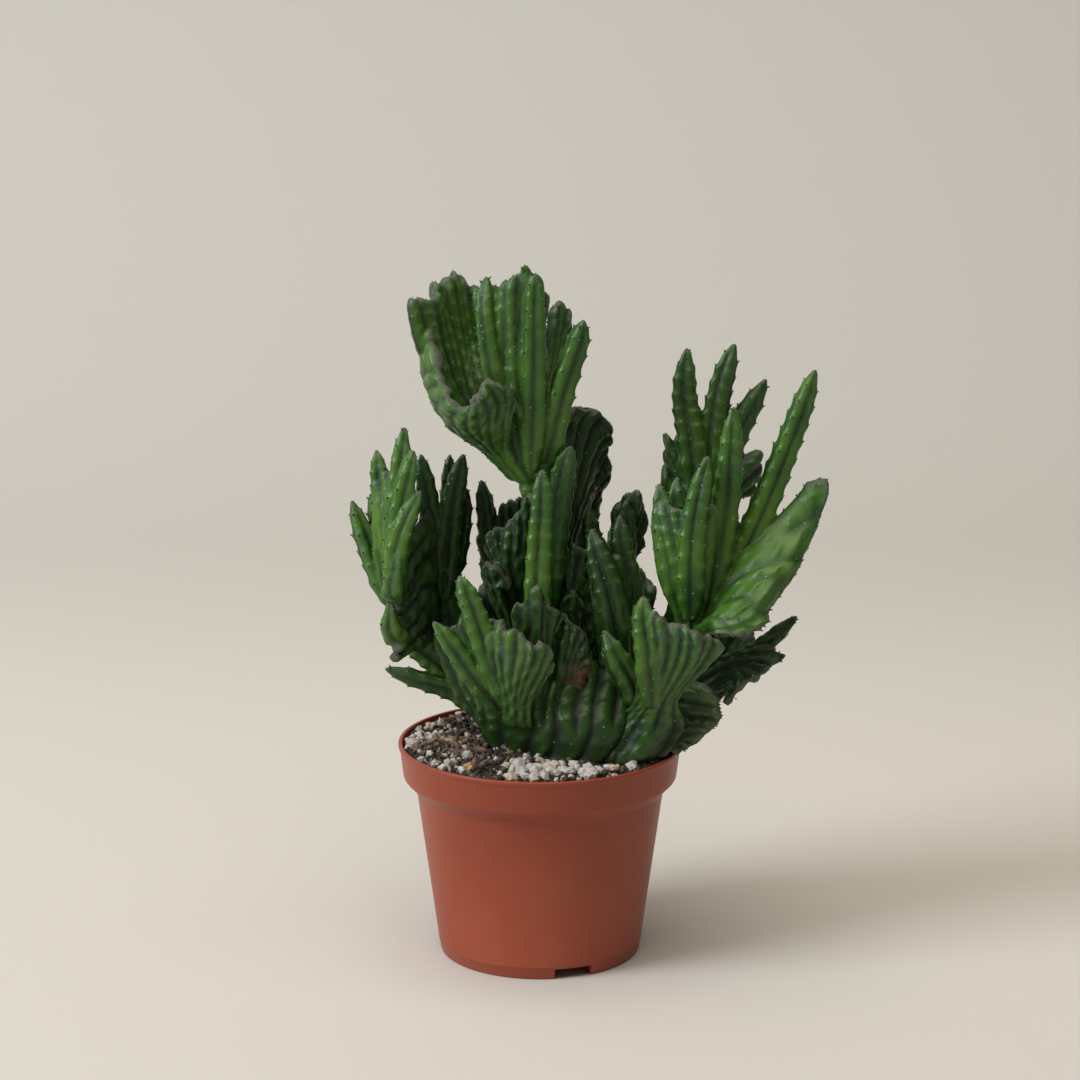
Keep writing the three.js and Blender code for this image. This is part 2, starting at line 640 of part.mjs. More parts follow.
        path: [[-2, 28, 100], [-12, 40, 130], [-17, 47, 152], [-20, 50, 168]],
      },
    ],
  },
  crest_rear_centre: {
    tone: 'mid',
    sheets: [
      { ribs: 10, thick: 6.5, lobe: 2.5, rows: [
        [[42, 26, 88], [24, 32, 88], [8, 28, 88]],
        [[46, 42, 122], [24, 50, 126], [4, 42, 122]],
        [[52, 50, 148], [42, 58, 156], [28, 64, 158], [14, 62, 157], [2, 54, 150], [-4, 44, 142]],
      ] },
    ],
    fingers: [
      {
        face: [0, 1, 0], width: 10.5, flat: 0.8,
        path: [[26, 28, 100], [30, 48, 135], [33, 57, 160], [36, 60, 178]],
      },
      {
        face: [0, 1, 0], width: 10, flat: 0.8,
        path: [[14, 28, 100], [10, 44, 135], [8, 50, 160], [8, 52, 182]],
      },
    ],
  },
  crest_rear_right: {
    tone: 'mid',
    sheets: [
      { ribs: 9, thick: 6.5, lobe: 2.5, rows: [
        [[48, 2, 92], [44, 16, 92], [34, 24, 92]],
        [[76, 8, 108], [68, 28, 112], [48, 42, 112]],
        [[90, 0, 128], [92, 14, 136], [88, 28, 140], [78, 42, 142], [66, 50, 138], [54, 56, 130]],
      ] },
    ],
    fingers: [
      {
        face: [0, 1, 0], width: 10, flat: 0.8,
        path: [[50, 20, 96], [68, 30, 118], [78, 36, 138], [82, 38, 154]],
      },
    ],
  },
  stem_rear: {
    tone: 'mid',
    fingers: [
      {
        face: [0, 1, 0], width: 11.5, flat: 0.85,
        path: [[20, 22, 100], [16, 34, 140], [20, 38, 180], [26, 38, 208]],
      },
    ],
  },
};

function stemSolid({ sheets = [], fingers = [] }) {
  const pieces = [...sheets.map(sheet), ...fingers.map(finger)];
  return pieces.reduce((whole, piece) => whole.add(piece));
}

// Outside radius of the pot's wall at a height under the shoulder.
function wallRadius(z) {
  return pot.baseRadius + ((pot.wallTopRadius - pot.baseRadius) * z) / pot.wallTop;
}

// A solid turned round the Z axis from its outline of radii and heights.
function turnedSolid(outline, sides) {
  const turned = new THREE.LatheGeometry(outline.map(([r, z]) => new THREE.Vector2(r, z)), sides);
  return solidOf(turned.rotateX(Math.PI / 2));
}

function potSolid() {
  const ringInside = pot.baseRadius - pot.ringWidth;
  let body = turnedSolid([
    [0, 0],
    [pot.bossRadius, 0],
    [pot.bossRadius + pot.draft, pot.channelHeight],
    [ringInside - pot.draft, pot.channelHeight],
    [ringInside, 0],
    [pot.baseRadius - pot.baseRound, 0],
    [pot.baseRadius, pot.baseRound],
    [pot.wallTopRadius, pot.wallTop],
    [pot.wallTopRadius + pot.shoulderRound, pot.wallTop + pot.shoulderRound],
    [pot.bandFootRadius - pot.shoulderRound, pot.bandFoot - pot.shoulderRound],
    [pot.bandFootRadius, pot.bandFoot],
    [pot.rimRadius, pot.height - pot.rimRound],
    [pot.rimRadius - pot.rimRound, pot.height],
    [pot.rimRadius - pot.wall - pot.rimRound / 2, pot.height],
    [pot.bandFootRadius - pot.wall, pot.bandFoot],
    [pot.wallTopRadius - pot.wall, pot.wallTop],
    [wallRadius(pot.floor) - pot.wall, pot.floor],
    [0, pot.floor],
  ], pot.sides);
  for (let i = 0; i < pot.notches; i++) {
    const notch = new THREE.BoxGeometry(2 * pot.ringWidth, pot.notchWidth, 2 * pot.notchHeight);
    notch.translate(pot.baseRadius - pot.ringWidth / 2, 0, 0);
    notch.rotateZ(THREE.MathUtils.degToRad(pot.notchAngle + (360 / pot.notches) * i));
    body = body.subtract(solidOf(notch));
  }
  for (let i = 0; i < pot.drainHoles; i++) {
    const hole = new THREE.CylinderGeometry(pot.drainRadius, pot.drainRadius, 4 * pot.floorThickness, 12);
    hole.rotateX(Math.PI / 2);
    hole.translate(pot.drainCircle, 0, pot.floor);
    hole.rotateZ((2 * Math.PI * i) / pot.drainHoles);
    body = body.subtract(solidOf(hole));
  }
  return body;
}

function soilSolid() {
  const bottom = pot.floor + gap;
  const top = pot.height - soil.rimDrop;
  const clear = pot.wall + gap;
  return turnedSolid([
    [0, bottom],
    [wallRadius(pot.floor) - clear, bottom],
    [pot.wallTopRadius - clear, pot.wallTop - gap],
    [pot.bandFootRadius - clear, pot.bandFoot + gap],
    [pot.rimRadius - clear - pot.rimRound, top],
    ...soil.mound.map(([radius, share]) => [radius, top + soil.moundHeight * share]),
  ], soil.sides);
}

const grains = [
  { name: 'perlite_01', at: [-8, -37, 93], size: [5.5, 5, 4] },
  { name: 'perlite_02', at: [-1, -43, 92.6], size: [5, 4.5, 4] },
  { name: 'perlite_03', at: [6, -40, 93], size: [4.5, 5, 4] },
  { name: 'perlite_04', at: [12, -47, 92], size: [5, 4.5, 4] },
  { name: 'perlite_05', at: [21, -47, 92], size: [5.5, 5, 4] },
  { name: 'perlite_06', at: [30, -43, 92.4], size: [4.5, 4, 3.5] },
  { name: 'perlite_07', at: [-13, -52, 91.2], size: [5, 4.5, 3.5] },
  { name: 'perlite_08', at: [-53, -4, 91.2], size: [5, 5.5, 4] },
  { name: 'perlite_09', at: [-47, 20, 91.6], size: [5.5, 5, 4] },
  { name: 'gravel', at: [-29, -43, 92.6], size: [5, 4.5, 5], finish: finishes.gravel },
  { name: 'bark_chip', at: [-37, -10, 94], size: [11, 5, 3.5], finish: finishes.bark },
];

// A grain that lies on the soil, partly sunk in it.
function grainSolid({ at, size }) {
  const stone = new THREE.IcosahedronGeometry(1 / 2, 0);
  stone.scale(...size);
  stone.translate(...at);
  return solidOf(stone);
}

function overlapping(a, b) {
  const [p, q] = [a.boundingBox(), b.boundingBox()];
  return [0, 1, 2].every((k) => p.min[k] < q.max[k] && q.min[k] < p.max[k]);
}

const root = new THREE.Group();
root.name = 'potted_stapelia';

// A solid and the clearance round it, which its neighbours stay out of.
function withClearance(solid) {
  const corner = gap / Math.sqrt(3);
  const steps = [[gap, 0, 0], [-gap, 0, 0], [0, gap, 0], [0, -gap, 0], [0, 0, gap], [0, 0, -gap]];
  for (const x of [-corner, corner]) {
    for (const y of [-corner, corner]) steps.push([x, y, corner], [x, y, -corner]);
  }
  return steps.reduce((whole, step) => whole.add(solid.translate(step)), solid.add(swollen(solid, gap)));
}

// Adds a piece to the part, cut back where it would run into the pieces that stand already.
const standing = [];
function place(name, solid, finish) {
  const plain = solid.asOriginal().simplify(tolerance);
  const near = standing.filter((other) => overlapping(plain, other));
  const cut = near.reduce((rest, other) => rest.subtract(other), plain);
  const kept = largest(solidOf(geometryOf(largest(cut).asOriginal().simplify(gap / 2))));
  standing.push(withClearance(kept));
  const mesh = new THREE.Mesh(geometryOf(kept), new THREE.MeshStandardMaterial(finish));
  mesh.name = name;
  root.add(mesh);
}

place('pot', potSolid(), finishes.pot);
place('crown', stemSolid(stems.crown), finishes[stems.crown.tone]);
place('soil', soilSolid(), finishes.soil);
for (const [name, stem] of Object.entries(stems)) {
  if (name !== 'crown') place(name, stemSolid(stem), finishes[stem.tone]);
}
grains.forEach((grain) => place(grain.name, grainSolid(grain), grain.finish ?? finishes.perlite));

export default root;
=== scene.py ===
import math
import bpy
import numpy as np
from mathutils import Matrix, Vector


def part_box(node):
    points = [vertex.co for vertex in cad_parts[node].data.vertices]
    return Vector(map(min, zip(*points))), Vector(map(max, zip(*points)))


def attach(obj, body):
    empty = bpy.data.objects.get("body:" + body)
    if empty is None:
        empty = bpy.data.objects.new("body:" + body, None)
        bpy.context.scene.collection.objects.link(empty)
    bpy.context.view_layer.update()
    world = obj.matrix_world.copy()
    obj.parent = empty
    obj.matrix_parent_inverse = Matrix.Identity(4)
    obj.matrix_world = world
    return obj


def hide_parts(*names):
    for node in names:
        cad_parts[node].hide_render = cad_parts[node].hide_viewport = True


# A crested stapelia in a terracotta-coloured nursery pot. Metres, +Z up, the viewer stands at -Y.
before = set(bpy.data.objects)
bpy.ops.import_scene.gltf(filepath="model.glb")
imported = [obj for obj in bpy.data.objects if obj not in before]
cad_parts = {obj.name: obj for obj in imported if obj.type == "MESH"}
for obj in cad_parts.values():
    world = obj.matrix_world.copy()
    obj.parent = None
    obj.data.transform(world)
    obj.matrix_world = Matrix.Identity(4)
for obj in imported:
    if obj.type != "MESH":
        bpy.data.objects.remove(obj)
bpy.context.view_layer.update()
bpy.ops.object.select_all(action="DESELECT")
mm = 0.001
print("frame loaded,", len(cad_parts), "nodes")


def clear():
    bpy.ops.object.select_all(action="DESELECT")


def pick(*objs):
    clear()
    for o in objs:
        o.select_set(True)
    bpy.context.view_layer.objects.active = objs[0]


def applyModifier(obj, name, kind, **values):
    pick(obj)
    modifier = obj.modifiers.new(name, kind)
    for key, value in values.items():
        setattr(modifier, key, value)
    bpy.ops.object.modifier_apply(modifier=name)


def weld(obj, facesOut=True):
    # joins corners that lie on each other, and turns the faces outwards
    pick(obj)
    bpy.ops.object.mode_set(mode="EDIT")
    bpy.ops.mesh.select_all(action="SELECT")
    bpy.ops.mesh.remove_doubles(threshold=0.00001)
    if facesOut:
        bpy.ops.mesh.normals_make_consistent(inside=False)
    bpy.ops.object.mode_set(mode="OBJECT")


def newPiece(name, points, edges, faces):
    mesh = bpy.data.meshes.new(name)
    mesh.from_pydata(points, edges, faces)
    piece = bpy.data.objects.new(name, mesh)
    bpy.context.collection.objects.link(piece)
    return piece


def takeShape(obj):
    # the corners and faces of a primitive, which is then removed
    points = np.array([v.co for v in obj.data.vertices])
    faces = [list(p.vertices) for p in obj.data.polygons]
    bpy.data.objects.remove(obj)
    return points, faces


def addTint(piece, tints):
    # a number from 0 to 1 at each corner, which picks the colour of loose stuff
    layer = piece.data.attributes.new("tint", "FLOAT", "POINT")
    layer.data.foreach_set("value", tints.astype(np.float32))


def withEnds(points):
    # the points with one more beyond each end, in line with the two next to it
    return np.concatenate([[2 * points[0] - points[1]], points, [2 * points[-1] - points[-2]]])


def between(a, b, c, d, f):
    # a smooth curve from b to c at the share f, where a comes before them and d after them
    return 0.5 * (2 * b + (c - a) * f + (2 * a - 5 * b + 4 * c - d) * f**2 + (3 * b - a - 3 * c + d) * f**3)


def through(points, t):
    # a smooth curve through the points, at the shares t of its way
    points = np.asarray(points, float)
    x = np.clip(t, 0, 1) * (len(points) - 1)
    i = np.clip(np.floor(x).astype(int), 0, len(points) - 2)
    f = (x - i).reshape(x.shape + (1,) * (points.ndim - 1))
    ends = withEnds(points)
    return between(ends[i], ends[i + 1], ends[i + 2], ends[i + 3], f)


def ease(low, high, x):
    t = np.clip((x - low) / (high - low), 0, 1)
    return t * t * (3 - 2 * t)


def unit(v):
    return v / np.maximum(np.linalg.norm(v, axis=-1, keepdims=True), 1e-9)


# What all the stems share, in millimetres.
growth = {
    "voxel": 0.6,
    "quickVoxel": 1.1,
    "ribColumns": 14,
    "sheetSteps": 110,
    "fingerSides": 56,
    "seam": 1.6,          # width of the scabby crest line, to each side
    "seamRough": 0.8,
    "knuckle": 8.0,       # distance between the teeth along a rib
    "knuckleRise": 0.75,  # how far the rib swells up to a tooth
    "forkLength": 0.14,   # share of a sheet over which a rib splits in two
    "wander": 0.22,       # how far ribs stray sideways, in ribs
    "proud": 0.55,        # how unevenly thick the ribs are
    "zigzag": 0.7,        # how far the crest swings from rib to rib
    "jagged": 1.4,        # fine notches along a crest
    "raggedReach": 2.6,   # how far down the scabs of a ragged rim reach
    "raggedThin": 0.45,   # how much thinner a ragged rim is than its sheet
    "ruffle": 1.0,        # how far the crest swings over a few ribs
    "fingerGroove": 0.5,  # radius of a finger in its grooves and on its ridges, in half widths
    "fingerRidge": 1.04,
    "fingerSwell": 0.16,
    "fingerTaper": (0.5, 1.12, 1.12, 1.06, 0.95, 0.84, 0.66),  # its thickness from root to tip
    "rimFade": 14.0,      # how far the bluish bloom reaches down from a rim
    "limeFade": 6.0,      # the same for the yellow-green of a fresh rim
    "fullShadeDepth": 1.6,     # grooves this deep get the full painted shade
    "rimTooth": 0.95,     # size of the teeth along a crest, against those on the ribs
    "rimToothSink": 0.5,
    "toothLength": 1.6,
    "toothRadius": 0.6,
    "toothSink": 0.45,    # how far a tooth's foot lies inside the stem
}


def knuckles(along, offset):
    # the rib swells slowly up to each tooth and narrows behind it
    share = (along / growth["knuckle"] + offset) % 1
    return np.sin(np.pi * share**1.8) ** 2


def toothPlaces(length, offset, first=0.1, last=0.97):
    # shares of the way at which a rib of that length has its teeth
    step = growth["knuckle"] / length
    found = (np.arange(1, int(length / growth["knuckle"]) + 2) - offset - 0.26) * step
    return found[(found > first) & (found < last)]


def perRib(phase, values):
    # a value of its own for each rib, shading into its neighbour's
    return np.interp(phase - 0.5, np.arange(len(values)), values)


def sheetSkin(draw, rows, ribs, thick=6, depth=1.7, lobe=2, lime=0, dead=None, bare=False, paintedDim=1,
              ragged=1):
    # A ribbed sheet: rings of points round it from its foot to its crest, their colours, and its teeth. A
    # sheet given a dimming share is painted darker all over, as painted shade.
    columns = growth["ribColumns"] * ribs
    steps = growth["sheetSteps"]
    u = np.linspace(0, 1, columns + 1)
    v = 1 - (1 - np.linspace(0, 1, steps + 1)) ** 1.5   # closer together towards the crest
    widths = draw.uniform(0.6, 1.5, ribs)
    borders = np.concatenate([[0], np.cumsum(widths)]) / widths.sum()
    uu, vv = np.meshgrid(u, v, indexing="ij")
    across = np.stack([through(row, u) for row in rows])
    length = np.linalg.norm(np.diff(across, axis=0), axis=2).sum(0).mean()
    start = draw.uniform(0, math.tau, 4)
    stray = np.sin(4.5 * vv + start[0]) + 0.6 * np.sin(9 * vv + 5 * uu + start[1])
    phase = np.interp(u, borders, np.arange(ribs + 1))[:, None]
    phase = np.clip(phase + growth["wander"] * np.sin(np.pi * uu) * stray, 0, ribs)
    rib = np.minimum(np.floor(phase), ribs - 1).astype(int)
    firstFork = draw.uniform(-0.05, 0.22, ribs)[rib // 4]
    lastFork = draw.uniform(0.2, 0.6, ribs)[rib // 2]
    first = ease(firstFork, firstFork + growth["forkLength"], vv)
    last = ease(lastFork, lastFork + growth["forkLength"], vv)
    fine = np.abs(np.sin(np.pi * phase)) ** 0.7
    pair = np.abs(np.sin(np.pi * phase / 2)) ** 0.7
    four = np.abs(np.sin(np.pi * phase / 4)) ** 0.7
    bundle = np.abs(np.sin(np.pi * phase / 3 + start[3])) ** 0.6
    height = four * (1 - first) + first * (pair * (1 - last) + fine * last)
    jags = draw.uniform(0, growth["jagged"], 4 * ribs + 1)
    notch = lobe * (1 - fine) + 0.9 * lobe * (1 - bundle) + perRib(phase, draw.uniform(0, 1.6, ribs))
    fineNotch = ragged * np.interp(4 * phase, np.arange(len(jags)), jags) * ease(0.85, 1, vv)
    reach = vv * (1 - (notch * ease(0.35, 1, vv) + fineNotch) / length)
    ends = withEnds(across)
    column = np.arange(columns + 1)[:, None]

    def at(share):
        x = share * (len(rows) - 1)
        i = np.clip(np.floor(x).astype(int), 0, len(rows) - 2)
        near = [ends[i + step, column] for step in range(4)]
        return between(*near, (x - i)[..., None])

    middle = at(reach)
    plain = at(vv)
    side = np.gradient(plain, axis=0)
    rise = np.gradient(plain, axis=1)
    normal = unit(np.cross(side, rise))
    swing = growth["zigzag"] * np.sin(np.pi * phase) * ease(0.75, 1, vv)
    swing = swing + growth["ruffle"] * np.sin(phase * math.tau / 3.3 + start[2]) * ease(0.55, 1, vv)
    middle = middle + swing[..., None] * normal
    spacing = np.linalg.norm(side, axis=2) * columns / ribs
    border = np.sqrt(np.clip(1 - np.abs(2 * uu - 1) ** (2.2 * ribs), 0, 1))
    top = np.sqrt(np.clip(1 - np.clip((vv - 0.94) / 0.06, 0, 1) ** 2, 0, 1))
    foot = np.sqrt(np.clip(1 - np.clip(1 - vv / 0.08, 0, 1) ** 2, 0, 1))
    deep = np.minimum(depth, spacing * (0.36 * last + 0.6 * (1 - last)))
    toCrest = (1 - vv) * length
    crest = np.clip(1.3 - thick / 2 * top / growth["seam"], 0, 1) * (vv > 0.9) * (not bare)
    if ragged > 1:
        crest = np.maximum(crest, np.clip(1.3 - toCrest / growth["raggedReach"], 0, 1))
        thick = thick * (1 - growth["raggedThin"] * ease(0.55, 1, vv))
    scab = crest * (vv < 1) * draw.uniform(-1, 1, vv.shape) * growth["seamRough"]
    faces = []
    for way in (1, -1):
        offsets = draw.uniform(0, 1, ribs)
        swell = growth["knuckleRise"] * fine**2 * knuckles(vv * length, offsets[rib])
        swell = swell + height * perRib(phase, draw.uniform(-1, 1, ribs)) * growth["proud"]
        half = (thick / 2 - deep * (1 - height) + swell) * border * top * foot
        faces.append((way, offsets, middle + way * (half + scab)[..., None] * normal))
    front, back = faces[0][2], faces[1][2]
    rings = np.concatenate([front, back[::-1][1:]]).transpose(1, 0, 2)
    closed = np.concatenate([middle, middle[::-1][1:]]).transpose(1, 0, 2)[:1]
    rings = np.concatenate([closed, rings])
    nearRim = np.exp(-toCrest / growth["rimFade"]) * (not bare)
    if lime:
        nearRim = -lime * np.exp(-toCrest / growth["limeFade"])
    # painted shade: the grooves are darker the deeper they are, and a dimmed sheet is darker all over
    ribShading = paintedDim * (1 - (1 - height) * min(1, depth / growth["fullShadeDepth"]))
    withered = np.zeros_like(crest)
    if dead:
        away = np.linalg.norm(middle - np.array(dead[:3]), axis=2)
        withered = -np.clip(1.6 - away / dead[3] + draw.uniform(-0.3, 0.3, vv.shape), 0, 1)
    hues = np.stack([ribShading, crest, withered, nearRim], axis=2)
    hues = np.concatenate([hues, hues[::-1][1:]]).transpose(1, 0, 2)
    hues = np.concatenate([hues[:1], hues])
    teeth = []
    tangent = unit(rise)
    for way, offsets, face in faces:
        for k in range(ribs):
            for share in toothPlaces(length, offsets[k]):
                j = int(np.searchsorted(v, share))
                i = int(np.argmin(np.abs(phase[:, j] - (k + 0.5))))
                if height[i, j] > 0.75:
                    lean = way * normal[i, j] * 0.8 + tangent[i, j]
                    teeth.append((face[i, j], lean, draw.uniform(0.35, 0.65)))
    for i, way in ((0, -1), (-1, 1)):
        for share in toothPlaces(length, draw.uniform()):
            j = int(np.searchsorted(v, share))
            teeth.append((middle[i, j], way * unit(side[i, j]) * 1.2 + tangent[i, j], draw.uniform(0.8, 1.1)))
    if not bare:
        for k in range(1, 4 * ribs):   # a dark tooth ends each fine fold of the crest
            i = int(np.argmin(np.abs(phase[:, -1] - k / 4)))
            lean = normal[i, -1] * (0.35 if k % 2 else -0.35)
            size = growth["rimTooth"] * (0.6 + 0.4 * ragged) * (0.7 + 0.6 * jags[k] / growth["jagged"])
            root = middle[i, -1] - tangent[i, -1] * growth["rimToothSink"]
            teeth.append((root, tangent[i, -1] + lean, size))
    return rings, hues, teeth


def fingerSkin(draw, width, path, flat=0.8, face=(0, -1, 0)):
    # A four-ridged finger: rings of points round it from its root to its tip, their colours, and its teeth.
    sides = growth["fingerSides"]
    length = np.linalg.norm(np.diff(through(path, np.linspace(0, 1, 40)), axis=0), axis=1).sum()
    steps = max(30, int(length / 0.8))
    s = np.linspace(0, 1, steps + 1)
    centre = through(path, s)
    tangent = unit(np.gradient(centre, axis=0))
    side = unit(np.cross(tangent, np.array(face, float)))
    out = np.cross(side, tangent)
    angle = np.linspace(0, math.tau, sides + 1)
    end = 1.5 * width / length
    tip = np.clip(1 - np.clip((s - (1 - end)) / end, 0, 1) ** 1.7, 0, 1) ** 0.6
    taper = through(growth["fingerTaper"], s)
    twist = draw.uniform(-0.3, 0.3) + draw.uniform(-0.35, 0.35) * s
    turned = angle[None] - twist[:, None]
    ridge = np.abs(np.sin(2 * turned)) ** 0.38
    offsets = draw.uniform(0, 1, 4)
    quarter = np.floor(turned / (np.pi / 2)).astype(int) % 4
    swell = knuckles(s[:, None] * length, offsets[quarter]) * ridge**4
    low, high = growth["fingerGroove"], growth["fingerRidge"]
    shape = low + (high - low) * ridge + growth["fingerSwell"] * swell
    radius = width / 2 * (tip * taper)[:, None] * shape
    rings = (centre[:, None] + (side[:, None] * np.cos(angle)[None, :, None]
             + out[:, None] * np.sin(angle)[None, :, None] * flat) * radius[..., None])
    toTip = (1 - s[:, None]) * length + np.zeros(ridge.shape)
    # painted shade in the grooves between the ridges, a brown tip, and bloom near the tip
    hues = np.stack([ridge, np.clip(1.1 - toTip / 2.4, 0, 1), np.zeros_like(ridge),
                     np.exp(-toTip / growth["rimFade"])], axis=2)
    root = np.repeat(centre[:1, None], sides + 1, axis=1)
    teeth = []
    for k in range(4):
        for share in toothPlaces(length, offsets[k], 0.15, 0.985):
            j = int(round(share * steps))
            i = int(round(((k + 0.5) / 4 + twist[j] / math.tau) * sides)) % sides
            away = side[j] * np.cos(angle[i]) + out[j] * np.sin(angle[i])
            teeth.append((rings[j, i], away + 0.9 * tangent[j], draw.uniform(0.7, 1.15)))
    return np.concatenate([root, rings]), np.concatenate([hues[:1], hues]), teeth


def skinPiece(rings, hues):
    # one grid wrapped round the rings of points
    count, around = rings.shape[:2]
    bpy.ops.mesh.primitive_grid_add(x_subdivisions=around - 1, y_subdivisions=count - 1)
    piece = bpy.context.object
    piece.data.vertices.foreach_set("co", (rings.reshape(-1) * mm).astype(np.float32))
    layer = piece.data.color_attributes.new("growth", "FLOAT_COLOR", "POINT")
    layer.data.foreach_set("color", hues.reshape(-1).astype(np.float32))
    return piece


def toothPieces(teeth, draw):
    # every tooth of a stem in one mesh, each a copy of one small spike
    bpy.ops.mesh.primitive_cone_add(vertices=6, radius1=1, radius2=0, depth=1, location=(0, 0, 0))
    corners, polygons = takeShape(bpy.context.object)
    corners[:, 2] += 0.5
    points, faces, colours = [], [], []
    for place, way, size in teeth:
        w = unit(np.asarray(way, float))
        a = unit(np.cross(w, [0.3, 0.5, 0.81]))
        b = np.cross(w, a)
        start = len(points)
        r = growth["toothRadius"] * size
        h = growth["toothLength"] * size
        for x, y, z in corners:
            points.append(place - w * growth["toothSink"] + a * x * r + b * y * r + w * z * h)
            colours.append((1, 0, z, 0.5))
        faces += [[start + i for i in face] for face in polygons]
    piece = newPiece("teeth", [tuple(p * mm) for p in points], [], faces)
    layer = piece.data.color_attributes.new("growth", "FLOAT_COLOR", "POINT")
    layer.data.foreach_set("color", np.array(colours, np.float32).reshape(-1))
    return piece


def growStem(name, shape, seed):
    draw = np.random.default_rng(seed)
    grown = [sheetSkin(draw, **sheet) for sheet in shape.get("sheets", [])]
    grown += [fingerSkin(draw, **finger) for finger in shape.get("fingers", [])]
    clear()
    pieces = [skinPiece(rings, hues) for rings, hues, teeth in grown]
    pick(*pieces)
    if len(pieces) > 1:
        bpy.ops.object.join()
    source = bpy.context.object
    weld(source, facesOut=False)
    bpy.ops.object.duplicate()
    stem = bpy.context.object
    stem.name = name + "_grown"
    size = shape.get("voxel", growth["voxel"])
    applyModifier(stem, "skin", "REMESH", mode="VOXEL", voxel_size=size * mm)
    applyModifier(stem, "soften", "SMOOTH", factor=0.5, iterations=2)
    if not stem.data.color_attributes.get("growth"):
        stem.data.color_attributes.new("growth", "FLOAT_COLOR", "POINT")
    applyModifier(stem, "carry", "DATA_TRANSFER", object=source, use_vert_data=True,
                  data_types_verts={"COLOR_VERTEX"}, vert_mapping="NEAREST",
                  layers_vcol_vert_select_src="ALL", layers_vcol_vert_select_dst="NAME")
    bpy.data.objects.remove(source)
    spikes = toothPieces([tooth for piece in grown for tooth in piece[2]], draw)
    pick(stem, spikes)
    bpy.ops.object.join()
    stem = bpy.context.object
    stem.data.name = stem.name
    bpy.ops.object.shade_smooth()
    return stem
